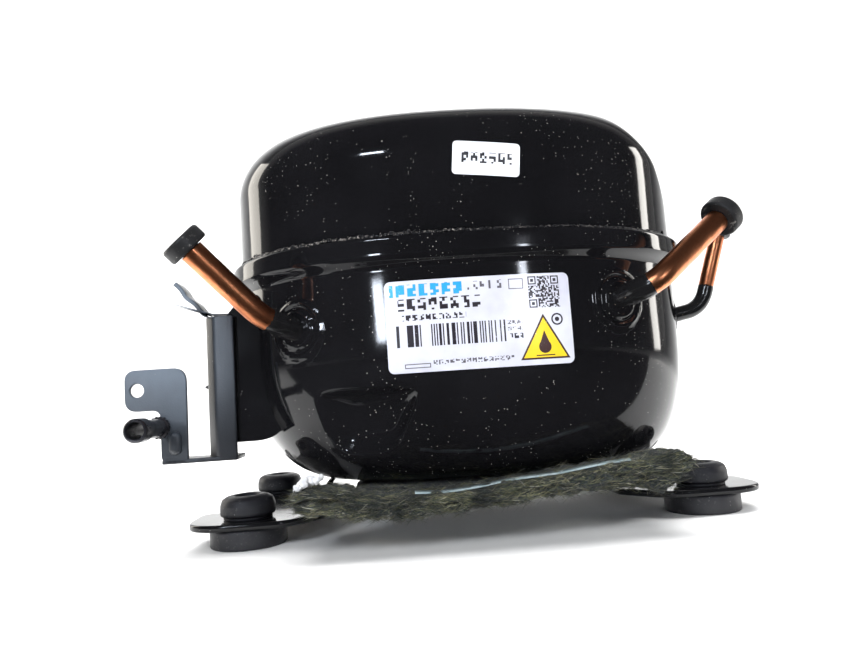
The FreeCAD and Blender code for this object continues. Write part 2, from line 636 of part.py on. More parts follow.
def build_crank():
    """Crankshaft with its web and pin, the counterweight riveted on, and the oil pickup below."""
    shaft = cylinder("journal", "deck_high - stator_low + 6", ("0", "0", "stator_low - 4"))
    collar = cylinder("web_radius", "1.9", ("0", "0", "deck_high + 0.3"))
    web = union(cylinder("web_radius", "web_high - deck_high - 2", ("0", "0", "deck_high + 2")),
                cylinder("8", "web_high - deck_high - 2", ("throw", "0", "deck_high + 2")))
    pin = cylinder("pin", "2 * yoke_half + 3", ("throw", "0", "web_high - 1"))
    oilway = cylinder("1.5", "60", ("0", "0", "stator_low - 5"))
    socket = cylinder("button + bearing_gap", "3", ("throw / 2", "0", "button_low - 0.05"))
    keep("crankshaft", minus(union(shaft, collar, web, pin), oilway, socket))
    weight_low, weight_high, web, sweep = dim("deck_high") + 0.6, 104, dim("web_radius"), 150
    rim = Part.makeCylinder(21.5, weight_high - weight_low, V(0, 0, weight_low), V(0, 0, 1), sweep)
    rim = rim.cut(Part.makeCylinder(web, 8, V(0, 0, weight_low - 1)))
    rim.rotate(V(0, 0, 0), V(0, 0, 1), 180 - sweep / 2)
    keep("counterweight", fixed(rim, "counterweight"))
    pickup = [("1.5", "0"), ("3", "0"), ("7", "12"), ("7.9", "12"), ("7.9", "17.8"), ("6", "17.8"), ("6", "12.5")]
    keep("oil_pickup", turned("oil_pickup", pickup, ("0", "0", "26")))


def build_scotch_yoke():
    """Slider block on the crank pin, the yoke with its piston, and the small carrier between them."""
    low, high = "axis_level - yoke_half", "axis_level + yoke_half"
    block = box(("throw - slider_half_x", "-slider_half_y", low), ("throw + slider_half_x", "slider_half_y", high))
    keep("slider_block", minus(block, cylinder("pin + bearing_gap", "40", ("throw", "0", "axis_level - 20"))))
    frame = box(("throw - slider_half_x - 4", "-slider_half_y - 14", low),
                ("throw + slider_half_x + 4", "slider_half_y + 14", high))
    window = box(("throw - slider_half_x - 0.05", "-slider_half_y - 10", "axis_level - 10"),
                 ("throw + slider_half_x + 0.05", "slider_half_y + 10", "axis_level + 10"))
    neck = cylinder("5.5", "12", ("throw - slider_half_x - 3", "0", "axis_level"), "-X")
    piston = cylinder("bore_radius - bearing_gap", "18", ("crown_rest + 18", "0", "axis_level"), "-X")
    keep("yoke_and_piston", union(minus(frame, window), neck, piston))
    keep("yoke_carrier", cylinder("button", "1", ("throw / 2", "0", "button_low")))


def framed(node, low, high, window_half):
    """A gasket: a plate of the block's outline with a square window on the cylinder axis."""
    body = box(low, high)
    window = box((low[0] + " - 2", "-%s" % window_half, "axis_level - %s" % window_half),
                 (high[0] + " + 2", window_half, "axis_level + %s" % window_half))
    keep(node, minus(body, window))


def build_head():
    """Gaskets, valve plate with its ports, two reeds, the cylinder head and the two mufflers."""
    side_low, side_high = "-block_half", "block_half"
    low, high = "deck_high + 0.5", "axis_level + block_half - 1"
    first = "block_face - gasket"
    second = first + " - plate_sheet"
    third = second + " - gasket"
    framed("cylinder_gasket", (first, side_low, low), ("block_face", side_high, high), "12")
    plate = box((second, side_low, low), (first, side_high, high))
    ports = [cylinder("port", "20", ("block_face - 12", y, "axis_level"), "X") for y in ("-4.6", "4.6")]
    keep("valve_plate", minus(plate, *ports))
    framed("head_gasket", (third, side_low, low), (second, side_high, high), "14")
    head = box((third + " - head_depth", side_low, low), (third, side_high, high))
    chambers = [box((third + " - 7", y0, "axis_level - 12"), (third + " + 1", y1, "axis_level + 12"))
                for y0, y1 in (("-14", "-1.2"), ("1.2", "14"))]
    keep("cylinder_head", minus(head, *chambers))
    reed_low, reed_high = "axis_level - 5", "axis_level + 6.5"
    for name, face, y in (("suction_reed", first + " + 0.05", -7.4), ("discharge_reed", second + " - 0.25", 1.6)):
        leaf = box((face, str(y), reed_low), (face + " + 0.2", "%s + 5.8" % y, reed_high))
        root = cylinder("0.1", "5.8", (face + " + 0.1", str(y), reed_low), "Y")
        keep(name, union(leaf, root))
    can = box(("-77", "-22", "58"), ("-58", "22", "94"))
    neck = box(("-61", "-14", "93"), ("-53", "-4", "deck_high + 0.5"))
    keep("suction_muffler", union(can, neck))
    keep("discharge_muffler", cylinder("9", "22", ("34", "33", "deck_high")))
    outlet = TUBES["discharge"][0]
    inward = wall_normal(outlet.x, outlet.y) * -1
    points = [V(43.4, 33, 111), V(62, 28, 110), V(72, 8, 101), V(73, -10, 86), outlet + inward * 13,
              outlet + inward * 5]
    runs = [rod(a, b, 1.6) for a, b in zip(points, points[1:])]
    loop = runs[0]
    for joint, run in zip(points[1:], runs[1:]):
        loop = loop.fuse(Part.makeSphere(1.6, joint)).fuse(run)
    keep("discharge_loop", fixed(loop, "discharge_loop"))


# ---- Build, check and write --------------------------------------------------------------------------

for build in (build_shell, build_labels, build_tubes, build_base, build_mat, build_bracket, build_terminals,
              build_suspension, build_motor, build_crankcase, build_crank, build_scotch_yoke, build_head):
    build()
doc.recompute()

for obj in doc.Objects:
    bad = {"Invalid", "Error"} & set(obj.State)
    if bad:
        raise RuntimeError("%s is %s" % (obj.Label, ", ".join(sorted(bad))))
for node, obj in parts.items():
    if obj.Shape.isNull() or not obj.Shape.isValid() or obj.Shape.Volume <= 0:
        raise RuntimeError("%s has no valid solid" % node)

os.makedirs("parts", exist_ok=True)
for node, obj in parts.items():
    print("%-26s solids %d  volume %10.1f  box %s" % (
        node, len(obj.Shape.Solids), obj.Shape.Volume,
        " ".join("%.1f" % v for v in (obj.Shape.BoundBox.XMin, obj.Shape.BoundBox.XMax, obj.Shape.BoundBox.YMin,
                                      obj.Shape.BoundBox.YMax, obj.Shape.BoundBox.ZMin, obj.Shape.BoundBox.ZMax))))
    obj.Shape.exportStep("parts/%s.step" % node)
print(len(parts), "nodes")
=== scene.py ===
import math
import bpy
import numpy as np
from mathutils import Matrix, Vector


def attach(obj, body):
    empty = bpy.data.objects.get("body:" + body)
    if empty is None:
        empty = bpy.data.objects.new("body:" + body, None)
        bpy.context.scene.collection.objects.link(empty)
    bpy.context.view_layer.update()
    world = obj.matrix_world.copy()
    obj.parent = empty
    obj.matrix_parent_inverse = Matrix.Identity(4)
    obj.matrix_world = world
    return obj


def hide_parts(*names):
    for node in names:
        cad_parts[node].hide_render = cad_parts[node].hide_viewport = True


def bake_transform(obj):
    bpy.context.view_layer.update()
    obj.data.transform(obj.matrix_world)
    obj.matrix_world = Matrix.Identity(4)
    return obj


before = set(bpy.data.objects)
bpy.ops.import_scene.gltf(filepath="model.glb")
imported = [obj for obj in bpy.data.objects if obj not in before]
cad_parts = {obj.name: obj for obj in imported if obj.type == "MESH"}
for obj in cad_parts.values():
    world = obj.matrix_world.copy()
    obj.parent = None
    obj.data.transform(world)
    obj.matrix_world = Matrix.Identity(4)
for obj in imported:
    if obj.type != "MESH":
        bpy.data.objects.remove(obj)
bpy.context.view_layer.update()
MM = 0.001

# ---- Pot ---------------------------------------------------------------------------------------------
# The lower shell: 3 mm steel drawn into a pot whose plan is a superellipse, with a flared collar that
# takes the cap. Ringed seats for the tubes and a three-cornered dimple are pressed into its wall, and
# it is dipped in gloss black paint that pools a little and catches dust.

HALF_LENGTH, HALF_DEPTH, PLAN_POWER = 88.5 * MM, 72.5 * MM, 2.4
POT_LOW, POT_ROUND = 20 * MM, 50 * MM
ROUND_WIDTHS = (36 * MM, 26 * MM, 25 * MM)
COLLAR_FLARE = 3.5 * MM
TUBE_ROOTS = {"process": (-60, -57, 75), "suction": (50, -62.5, 78.5), "discharge": (86.5, -17, 75.5)}
PAINT_BLACK = (0.0045, 0.0045, 0.0052, 1)


def unit(vectors):
    """Each vector over its own length."""
    return vectors / np.linalg.norm(vectors, axis=-1, keepdims=True)


def smooth(values, low, high):
    """0 below low, 1 above high, and 3t^2 - 2t^3 between."""
    t = np.clip((values - low) / (high - low), 0, 1)
    return t * t * (3 - 2 * t)


def plan(angle, left, right, depth):
    """Superellipse of the plan: x = reach |cos|^(2/n), y = depth |sin|^(2/n), each with its own sign."""
    c, s = np.cos(angle), np.sin(angle)
    reach = np.where(c > 0, right, left)
    return (reach * np.sign(c) * np.abs(c) ** (2 / PLAN_POWER),
            depth * np.sign(s) * np.abs(s) ** (2 / PLAN_POWER))


def even_angles(count):
    """Angles that cut the straight wall's superellipse into equal lengths of wall."""
    fine = np.linspace(0, 2 * np.pi, 7201)
    x, y = plan(fine, HALF_LENGTH, HALF_LENGTH, HALF_DEPTH)
    run = np.concatenate(([0], np.cumsum(np.hypot(np.diff(x), np.diff(y)))))
    return np.interp(np.linspace(0, run[-1], count, endpoint=False), run, fine)


def wall_normal(x, y):
    """Outward normal of the straight wall: the gradient |x/a|^(n-1)/a, |y/b|^(n-1)/b of its superellipse."""
    p = PLAN_POWER - 1
    return unit(np.stack((np.sign(x) * np.abs(x / HALF_LENGTH) ** p / HALF_LENGTH,
                          np.sign(y) * np.abs(y / HALF_DEPTH) ** p / HALF_DEPTH, np.zeros_like(x)),
                          axis=-1))


def grid_normals(grid):
    """Normals of a grid closed along its columns: the cross product of its two differences."""
    around = np.roll(grid, -1, axis=1) - np.roll(grid, 1, axis=1)
    return unit(np.cross(around, np.gradient(grid, axis=0)) + 1e-15)


def rings(grid, poles=(True, True), closed=True):
    """A grid as points and faces; a pole closes its first or last row with a fan about the row's middle."""
    rows, columns = grid.shape[:2]
    verts = grid.reshape(-1, 3)
    r = np.arange(rows - 1)[:, None]
    c = np.arange(columns if closed else columns - 1)[None, :]
    n = (c + 1) % columns
    corners = np.broadcast_arrays(r * columns + c, r * columns + n, (r + 1) * columns + n,
                                  (r + 1) * columns + c)
    faces = np.stack(corners, axis=-1).reshape(-1, 4).tolist()
    for row, wanted in ((0, poles[0]), (rows - 1, poles[1])):
        if wanted:
            hub = np.full(columns, len(verts))
            verts = np.vstack((verts, grid[row].mean(axis=0)))
            ring = row * columns + np.arange(columns)
            fan = (np.roll(ring, -1), ring, hub) if row == 0 else (ring, np.roll(ring, -1), hub)
            faces += np.stack(fan, axis=1).tolist()
    return verts, faces


def joined(*shapes):
    """Several shapes as one: their points in a row and their faces' numbers shifted."""
    verts, faces, shift = [], [], 0
    for shape_verts, shape_faces in shapes:
        verts.append(np.asarray(shape_verts))
        faces += [[corner + shift for corner in face] for face in shape_faces]
        shift += len(shape_verts)
    return np.vstack(verts), faces


def make(name, shape, material, body="housing", replaces=(), sharp=35, values=None):
    """A piece from points and faces, smooth but for edges sharper than an angle, riding on any body named."""
    mesh = bpy.data.meshes.new(name)
    mesh.from_pydata(shape[0], [], shape[1])
    mesh.shade_smooth()
    if sharp:
        mesh.set_sharp_from_angle(angle=math.radians(sharp))
    for label, data in (values or {}).items():
        held = mesh.attributes.new(label, "FLOAT", "POINT").data
        held.foreach_set("value", np.asarray(data, dtype=np.float32))
    mesh.materials.append(material)
    piece = bpy.data.objects.new(name, mesh)
    bpy.context.scene.collection.objects.link(piece)
    if body:
        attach(piece, body)
    if replaces:
        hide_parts(*replaces)
    return piece


def waves(points, length, seed, count=24):
    """Smooth random height: sines of about one wavelength in random directions, added, about -1 to 1."""
    rng = np.random.default_rng(seed)
    directions = unit(rng.normal(size=(count, 3)))
    rates = 2 * np.pi / length * rng.uniform(0.6, 1.6, count)
    total = np.zeros(points.shape[:-1])
    for direction, rate, phase in zip(directions, rates, rng.uniform(0, 2 * np.pi, count)):
        total += np.sin(points @ direction * rate + phase)
    return total / math.sqrt(count)


def node(tree, kind, inputs=None, **settings):
    """A shader node. A socket given as an input is linked, and anything else is set as its value."""
    made = tree.nodes.new("ShaderNode" + kind)
    for key, value in settings.items():
        setattr(made, key, value)
    for key, value in (inputs or {}).items():
        if isinstance(value, bpy.types.NodeSocket):
            tree.links.new(value, made.inputs[key])
        else:
            made.inputs[key].default_value = value
    return made


def calc(tree, operation, a, b=0.0, c=0.0):
    """The result of one Math node."""
    return node(tree, "Math", {0: a, 1: b, 2: c}, operation=operation).outputs[0]


def mixed(tree, factor, a, b):
    """A colour that goes from a to b with the factor."""
    return node(tree, "Mix", {0: factor, 6: a, 7: b}, data_type="RGBA").outputs[2]


def noise(tree, where, scale, detail=2.0, roughness=0.5):
    """A noise value at a scale per metre."""
    return node(tree, "TexNoise", {"Vector": where, "Scale": scale, "Detail": detail,
                                   "Roughness": roughness}).outputs[0]


def spread(tree, value, low, high, to_low=0.0, to_high=1.0):
    """A value stretched from low..high to a new range, held at its ends."""
    return node(tree, "MapRange", {0: value, 1: low, 2: high, 3: to_low, 4: to_high}).outputs[0]


def place_on(tree):
    """Object coordinates."""
    return node(tree, "TexCoord").outputs["Object"]


def bumped(tree, shader, height, strength, distance):
    """The height as a bump on the shader's normal."""
    made = node(tree, "Bump", {"Height": height, "Strength": strength, "Distance": distance})
    tree.links.new(made.outputs[0], shader.inputs["Normal"])


def feed(tree, shader, **sockets):
    """Values and links for the shader's sockets, named with _ for a space."""
    for label, value in sockets.items():
        socket = shader.inputs[label.replace("_", " ")]
        if isinstance(value, bpy.types.NodeSocket):
            tree.links.new(value, socket)
        else:
            socket.default_value = value


def blank(name):
    """An empty material: itself, its tree and its Principled shader."""
    material = bpy.data.materials.new(name)
    material.use_nodes = True
    return material, material.node_tree, material.node_tree.nodes["Principled BSDF"]


def group(name, inputs, outputs):
    """An empty node group: itself, its input node and its output node, with float sockets but for Place."""
    made = bpy.data.node_groups.new(name, "ShaderNodeTree")
    for side, labels in (("INPUT", inputs), ("OUTPUT", outputs)):
        for label in labels:
            kind = "NodeSocketVector" if label == "Place" else "NodeSocketFloat"
            made.interface.new_socket(label, in_out=side, socket_type=kind)
    return made, made.nodes.new("NodeGroupInput"), made.nodes.new("NodeGroupOutput")


def placed(tree, which, inputs):
    """A group's node in a tree, with its inputs linked or set."""
    made = tree.nodes.new("ShaderNodeGroup")
    made.node_tree = which
    for key, value in inputs.items():
        if isinstance(value, bpy.types.NodeSocket):
            tree.links.new(value, made.inputs[key])
        else:
            made.inputs[key].default_value = value
    return made


def dust_group():
    """Specks of dust: each Voronoi cell may hold one dot, whose size and chance are the cell's own colour."""
    made, start, end = group("dust specks", ("Place", "Scale", "Amount", "Size"), ("Mask",))
    place = start.outputs[0]
    cells = node(made, "TexVoronoi", {"Vector": place, "Scale": start.outputs[1]})
    chance = node(made, "SeparateColor", {0: cells.outputs["Color"]})
    patch = spread(made, noise(made, place, 40, 3), 0.35, 0.65, 0.5, 1.25)
    here = calc(made, "MULTIPLY", calc(made, "MULTIPLY", chance.outputs[1], patch), start.outputs[2])
    rare = calc(made, "GREATER_THAN", here, 0.6)
    size = calc(made, "MULTIPLY", spread(made, chance.outputs[0], 0, 1, 0.35, 1), start.outputs[3])
    dot = calc(made, "LESS_THAN", cells.outputs["Distance"], size)
    made.links.new(calc(made, "MULTIPLY", dot, rare), end.inputs[0])
    return made


def paint_group():
    """Dipped paint: long shallow waves with fine orange peel for height, and a gloss that drifts."""
    made, start, end = group("dipped paint", ("Place", "Peel"), ("Height", "Gloss"))
    place = start.outputs[0]
    peel = calc(made, "MULTIPLY", noise(made, place, 700, 2), start.outputs[1])
    made.links.new(calc(made, "ADD", peel, noise(made, place, 45, 1)), end.inputs[0])
    made.links.new(noise(made, place, 60, 4), end.inputs[1])
    return made


DUST, PAINT = dust_group(), paint_group()


def black_paint(name, peel=0.03, dust=1.0, strength=0.3, gloss=(0.05, 0.1), base=PAINT_BLACK):
    """Gloss black paint: specks of dust lift its colour and its roughness."""
    material, tree, shader = blank(name)
    place = place_on(tree)
    coat = placed(tree, PAINT, {"Place": place, "Peel": peel})
    fine = placed(tree, DUST, {"Place": place, "Scale": 1100.0, "Amount": 0.9 * dust, "Size": 0.165})
    coarse = placed(tree, DUST, {"Place": place, "Scale": 400.0, "Amount": 0.75 * dust, "Size": 0.085})
    specks = calc(tree, "MAXIMUM", fine.outputs[0], coarse.outputs[0])
    haze = spread(tree, noise(tree, place, 25, 5), 0.42, 0.72)
    tint = mixed(tree, haze, base, tuple(1.7 * part for part in base[:3]) + (1,))
    rough = calc(tree, "MULTIPLY_ADD", specks, 0.5, spread(tree, coat.outputs[1], 0.3, 0.7, *gloss))
    feed(tree, shader, Base_Color=mixed(tree, specks, tint, (0.36, 0.345, 0.32, 1)), Roughness=rough,
         IOR=1.4)
    bumped(tree, shader, coat.outputs[0], strength, 0.0004)
    return material


SHELL_PAINT = black_paint("shell paint")


def tube_root(name):
    """A tube's root on the wall and the wall's normal there."""
    root = np.array(TUBE_ROOTS[name], dtype=float) * MM
    return root, wall_normal(root[0], root[1])


def seat_height(reach):
    """A tube's pressed seat by distance from its axis: a raised pad, a groove in it and an inner ring."""
    pad = 1.15 * MM * (1 - smooth(reach, 9.3 * MM, 10.9 * MM))
    groove = -1.3 * MM * np.exp(-((reach - 7.9 * MM) / (0.9 * MM)) ** 2)
    inner = 0.5 * MM * np.exp(-((reach - 6.2 * MM) / (0.5 * MM)) ** 2)
    return pad + groove + inner


def dimple_depth(grid):
    """The dimple: a bowl in a rounded triangle with a cut-off foot, its edge a soft maximum of four lines."""
    across, up = grid[..., 0] + 38.5 * MM, grid[..., 2] - 42.5 * MM
    sides = (up - 11 * MM, -0.42 * up + 0.907 * across - 13.4 * MM, -0.34 * up - 0.94 * across - 13.8 * MM,
             -up - 11.5 * MM)
    soft = 2.4 * MM
    edge = soft * np.log(sum(np.exp(np.clip(side / soft, -40, 40)) for side in sides))
    inside = np.clip(-edge / (9 * MM), 0, 1)
    hollow = MM * (4.6 * inside * (2 - inside) + 1.6 * smooth(-edge, -0.6 * MM, 2.4 * MM))
    return np.where(grid[..., 1] < 0, hollow, 0)


def pot_reach(level, power, width, half):
    """Half size of the pot at a level: half - width (1 - (1 - share^p)^(1/p)), share falling from 1 to 0."""
    share = np.clip((POT_LOW + POT_ROUND - level) / POT_ROUND, 0, 1)
    return half - width * (1 - (1 - share ** power) ** (1 / power))


def at_level(x, y, level):
    """Points over a plan curve at one level."""
    return np.stack((x, y, np.full_like(x, level)), axis=-1)


def pot_grid(columns=480):
    """Rows from the middle of the floor up the round and the wall, over the collar and into its lip."""
    angle = even_angles(columns)
    turn = np.linspace(0, np.pi / 2, 60)
    levels = np.concatenate((POT_LOW + POT_ROUND * (1 - np.cos(turn)), np.linspace(70.5, 91.6, 42) * MM))
    halves = (HALF_LENGTH, HALF_LENGTH, HALF_DEPTH)
    reaches = [pot_reach(levels, p, w, h) for p, w, h in zip((2.1, 2.6, 2.4), ROUND_WIDTHS, halves)]
    rows = [at_level(*plan(angle, *[share * reach[0] for reach in reaches]), POT_LOW)
            for share in (0.03, 0.2, 0.45, 0.7, 0.88)]
    rows += [at_level(*plan(angle, *[reach[i] for reach in reaches]), level) for i,
             level in enumerate(levels)]
    x, y = plan(angle, *halves)
    t = np.linspace(0, 1, 14)
    profile = [(COLLAR_FLARE * s, 92.2 * MM + 4.4 * MM * u) for s, u in zip(smooth(t, 0, 1), t)]
    profile += [(COLLAR_FLARE, level * MM) for level in (97.4, 98.8, 100.2, 101.4)]
    profile += [(COLLAR_FLARE - 1.2 * MM * (1 - math.cos(a)), 101.8 * MM + 1.2 * MM * math.sin(a))
                for a in np.linspace(0.2, np.pi / 2, 6)]
    profile += [(1.3 * MM, 103 * MM), (0.6 * MM, 102.7 * MM), (0.35 * MM, 101.6 * MM), (0.35 * MM, 99 * MM)]
    normal = wall_normal(x, y)
    rows += [at_level(x, y, level) + out * normal for out, level in profile]
    return np.array(rows)


def pressed(grid):
    """The seats and the dimple pressed along the wall's normal, with faint drawing waves."""
    height = 0.045 * MM * waves(grid, 45 * MM, 3) - dimple_depth(grid)
    for name in TUBE_ROOTS:
        root, out = tube_root(name)
        offset = grid - root
        reach = np.linalg.norm(offset - (offset @ out)[..., None] * out, axis=-1)
        size = 0.82 if name == "discharge" else 1
        near = np.linalg.norm(offset, axis=-1) < 20 * MM
        height = height + np.where(near, seat_height(reach / size), 0)
    return grid + height[..., None] * grid_normals(grid)


pot = make("pot", rings(pressed(pot_grid()), poles=(True, False)), SHELL_PAINT,
           replaces=("lower_shell",), sharp=0)

# ---- Cap ---------------------------------------------------------------------------------------------
# The upper shell: the same sheet drawn with a tight shoulder and a low crown. Its right shoulder is
# pressed in to a slope with two shallow flutes, to clear the tubes in the appliance. Dipped like the pot.

CAP_SHOULDER, CAP_ROUND, CAP_FLAT, CAP_CROWN, SKIRT = 131 * MM, 18.5 * MM, 62 * MM, 6 * MM, 0.2 * MM
SLOPE, FACET_REACH = math.radians(42), 150 * MM
FLUTE_RADIUS, FLUTE_DEPTH, FLUTE_OFFSET = 30 * MM, 3.5 * MM, 30 * MM


def soft_above(value, width):
    """A ramp that leaves zero softly: width ln(1 + e^(value / width))."""
    return np.where(value > 20 * width, value, width * np.log1p(np.exp(np.clip(value / width, -40, 20))))


def cap_grid(columns=480):
    """Rows up the wall, then insets from it: level = shoulder + R (1 - left^2.2)^(1/2.2) + crown."""
    angle = even_angles(columns)
    x, y = plan(angle, HALF_LENGTH, HALF_LENGTH, HALF_DEPTH)
    rows = [at_level(x, y, level) + SKIRT * wall_normal(x, y)
            for level in np.linspace(101.5 * MM, CAP_SHOULDER, 36)[:-1]]
    insets = np.concatenate((CAP_ROUND * (1 - np.cos(np.linspace(0, np.pi / 2, 40))),
                             np.linspace(CAP_ROUND, CAP_FLAT, 52)[1:],
                             CAP_FLAT + np.array([3, 6, 8.5]) * MM))
    for inset in insets:
        left = max(0, 1 - inset / CAP_ROUND)
        level = CAP_SHOULDER + CAP_ROUND * (1 - left ** 2.2) ** (1 / 2.2)
        level += CAP_CROWN * (1 - max(0, 1 - inset / CAP_FLAT) ** 2)
        side = HALF_LENGTH + SKIRT - inset
        rows.append(at_level(*plan(angle, side, side, HALF_DEPTH + SKIRT - inset), level))
    return np.array(rows)


def sloped(grid):
    """Points beyond the sloping facet, or beyond its flutes, come back along the facet's normal."""
    out = np.array([math.sin(SLOPE), 0, math.cos(SLOPE)])
    off = np.abs(np.abs(grid[..., 1]) - FLUTE_OFFSET)
    sag = np.sqrt(np.maximum(FLUTE_RADIUS ** 2 - off ** 2, 0)) - (FLUTE_RADIUS - FLUTE_DEPTH)
    flute = np.minimum(soft_above(sag, 0.8 * MM), FLUTE_DEPTH + 0.3 * MM)
    back = soft_above(grid @ out - (FACET_REACH - flute), 1.2 * MM)
    return grid - back[..., None] * out


def drawn_cap(grid):
    """The finished cap: the sloped grid with faint drawing waves along its normals."""
    grid = sloped(grid)
    return grid + (0.05 * MM * waves(grid, 50 * MM, 8) - 0.03 * MM)[..., None] * grid_normals(grid)


cap = make("cap", rings(drawn_cap(cap_grid()), poles=(False, True)), SHELL_PAINT,
           replaces=("upper_shell",), sharp=0)

# ---- Weld bead ---------------------------------------------------------------------------------------
# The seam: a machine-laid fillet between the cap's wall and the collar's lip. It ripples every
# millimetre or two, spits small beads, and its paint is thin and chipped, so bare metal glints.


def bead_grid(columns=1500, around=14):
    """A small round section carried along the seam; its radius is overlapping drops plus noise."""
    angle = even_angles(columns)
    x, y = plan(angle, HALF_LENGTH, HALF_LENGTH, HALF_DEPTH)
    normal, up = wall_normal(x, y), np.array([0, 0, 1.0])
    centre = at_level(x, y, 103.2 * MM) + 0.75 * MM * normal
    run = np.linspace(0, 2 * np.pi, columns, endpoint=False)
    drops = np.abs(np.sin(run * 120 + 2.5 * np.sin(run * 7)))
    rough = waves(centre, 3.2 * MM, 12) + 0.7 * waves(centre, 1.2 * MM, 13)
    lap = np.exp(-((x + 27 * MM) / (13 * MM)) ** 2) * (y < 0)
    ragged = smooth(-x, -10 * MM, 45 * MM)
    roughness = (0.1 + 0.12 * ragged + 0.14 * lap) * rough
    radius = MM * (0.8 + 0.25 * ragged + 0.35 * lap + 0.16 * drops + roughness)[:, None]
    middle = centre + (MM * (0.12 + 0.22 * ragged) * waves(centre, 9 * MM, 14))[:, None] * up
    grid = np.array([middle + radius * (1.15 * math.cos(a) * normal + math.sin(a) * up)
                     for a in np.linspace(0, 2 * np.pi, around + 1)])
    return np.roll(grid, 1, axis=0)[1:]


def weld_paint():
    """Thin black paint over a rough bead: noise chips it to bare steel and pale flux."""
    material, tree, shader = blank("weld paint")
    place = place_on(tree)
    patch = spread(tree, noise(tree, place, 34, 3), 0.42, 0.66)
    chip = calc(tree, "MULTIPLY", spread(tree, noise(tree, place, 420, 5, 0.7), 0.55, 0.6), patch)
    flux = calc(tree, "MULTIPLY", spread(tree, noise(tree, place, 1500, 3), 0.6, 0.66), patch)
    colour = mixed(tree, chip, (0.012, 0.012, 0.013, 1), (0.35, 0.32, 0.3, 1))
    rough = spread(tree, noise(tree, place, 500, 3), 0.3, 0.7, 0.12, 0.4)
    feed(tree, shader, Base_Color=mixed(tree, flux, colour, (0.5, 0.46, 0.42, 1)), Roughness=rough,
         Metallic=calc(tree, "MULTIPLY", chip, 0.8))
    bumped(tree, shader, noise(tree, place, 1500, 4), 0.5, 0.0003)
    return material


WELD_PAINT = weld_paint()
make("weld_bead_run", rings(bead_grid(), poles=(False, False)), WELD_PAINT,
     replaces=("weld_bead",), sharp=0)

# ---- Nameplate and sticker ---------------------------------------------------------------------------
# Printed film labels, stuck on by hand: a silvery nameplate with bars, squares and a plain triangle
# where a maker's lines would be, and a small white sticker on the cap. Neither carries any lettering.

PLATE_SIZE, PLATE_MIDDLE = (62, 30.5), (1, 72.55)
STICKER_SIZE, STICKER_MIDDLE, STICKER_TURN = (23, 11.6), (7, 127.8), math.radians(-5.5)
INK, CYAN, GREY_INK, SIGN_YELLOW = (0.018, 0.013, 0.02, 1), (0.02, 0.33, 0.74,
                                                             1), (0.1, 0.09, 0.11, 1), (0.84, 0.58, 0.01, 1)


def front_depth(x, reaches):
    """Front of a superellipse at x: y = -depth (1 - |x / reach|^n)^(1/n), with its own reach each side."""
    left, right, depth = reaches
    share = np.abs(x) / np.where(x > 0, right, left)
    return -depth * (1 - np.clip(share, 0, 1) ** PLAN_POWER) ** (1 / PLAN_POWER)


def pot_front(x, z):
    """The pot's front at x and z."""
    halves = (HALF_LENGTH, HALF_LENGTH, HALF_DEPTH)
    return front_depth(x, [pot_reach(z, p, w, h) for p, w, h in zip((2.1, 2.6, 2.4), ROUND_WIDTHS, halves)])


def cap_front(x, z):
    """The cap's front at x and z: the inset that reaches this level, looked up, then its superellipse."""
    inset = np.linspace(0, 12, 200) * MM
    left = 1 - inset / CAP_ROUND
    crown = CAP_CROWN * (1 - (1 - inset / CAP_FLAT) ** 2)
    level = CAP_SHOULDER + CAP_ROUND * (1 - left ** 2.2) ** (1 / 2.2) + crown
    here = np.interp(z, level, inset)
    side = HALF_LENGTH + SKIRT - here
    return front_depth(x, (side, side, HALF_DEPTH + SKIRT - here))


def film(name, size, middle, corner, turn, front, lift, material, replaces, steps=(90, 46)):
    """A film on a curved front: a flat grid, its corners pulled in to arcs, set on it with a thin rim."""
    u = np.pad(np.linspace(-0.5, 0.5, steps[0]) * size[0], 1,
               mode="edge")[None, :] * np.ones((steps[1] + 2, 1))
    v = np.pad(np.linspace(-0.5, 0.5, steps[1]) * size[1], 1,
               mode="edge")[:, None] * np.ones((1, steps[0] + 2))
    over_u = np.maximum(np.abs(u) - (size[0] / 2 - corner), 0)
    over_v = np.maximum(np.abs(v) - (size[1] / 2 - corner), 0)
    shrink = np.minimum(1, corner / np.maximum(np.hypot(over_u, over_v), 1e-9))
    u = np.sign(u) * (np.abs(u) - over_u * (1 - shrink))
    v = np.sign(v) * (np.abs(v) - over_v * (1 - shrink))
    rim = np.pad(np.zeros((steps[1], steps[0])), 1, constant_values=1)
    x = (middle[0] + u * math.cos(turn) - v * math.sin(turn)) * MM
    z = (middle[1] + u * math.sin(turn) + v * math.cos(turn)) * MM
    flat = np.stack((x, front(x, z), z), axis=-1)
    out = wall_normal(x, flat[..., 1])
    crease = 0.06 * MM * np.exp(-((u + 11.5 - 0.12 * v) / 0.5) ** 2) * smooth(-v, -2, 12)
    height = lift * (1 - rim) - 0.1 * MM * rim + crease * (1 - rim)
    grid = flat + height[..., None] * out
    values = {"across": (u + size[0] / 2).reshape(-1), "up": (v + size[1] / 2).reshape(-1)}
    return make(name, rings(grid, poles=(False, False), closed=False), material, replaces=replaces,
                sharp=60, values=values)


def read_value(tree, label):
    """A point attribute's value."""
    return node(tree, "Attribute", attribute_name=label).outputs["Fac"]


def product(tree, *values):
    """Masks multiplied together."""
    total = values[0]
    for value in values[1:]:
        total = calc(tree, "MULTIPLY", total, value)
    return total


def patch(tree, u, v, left, right, low, high):
    """1 inside a rectangle in millimetres."""
    return product(tree, calc(tree, "COMPARE", u, (left + right) / 2, (right - left) / 2),
                   calc(tree, "COMPARE", v, (low + high) / 2, (high - low) / 2))


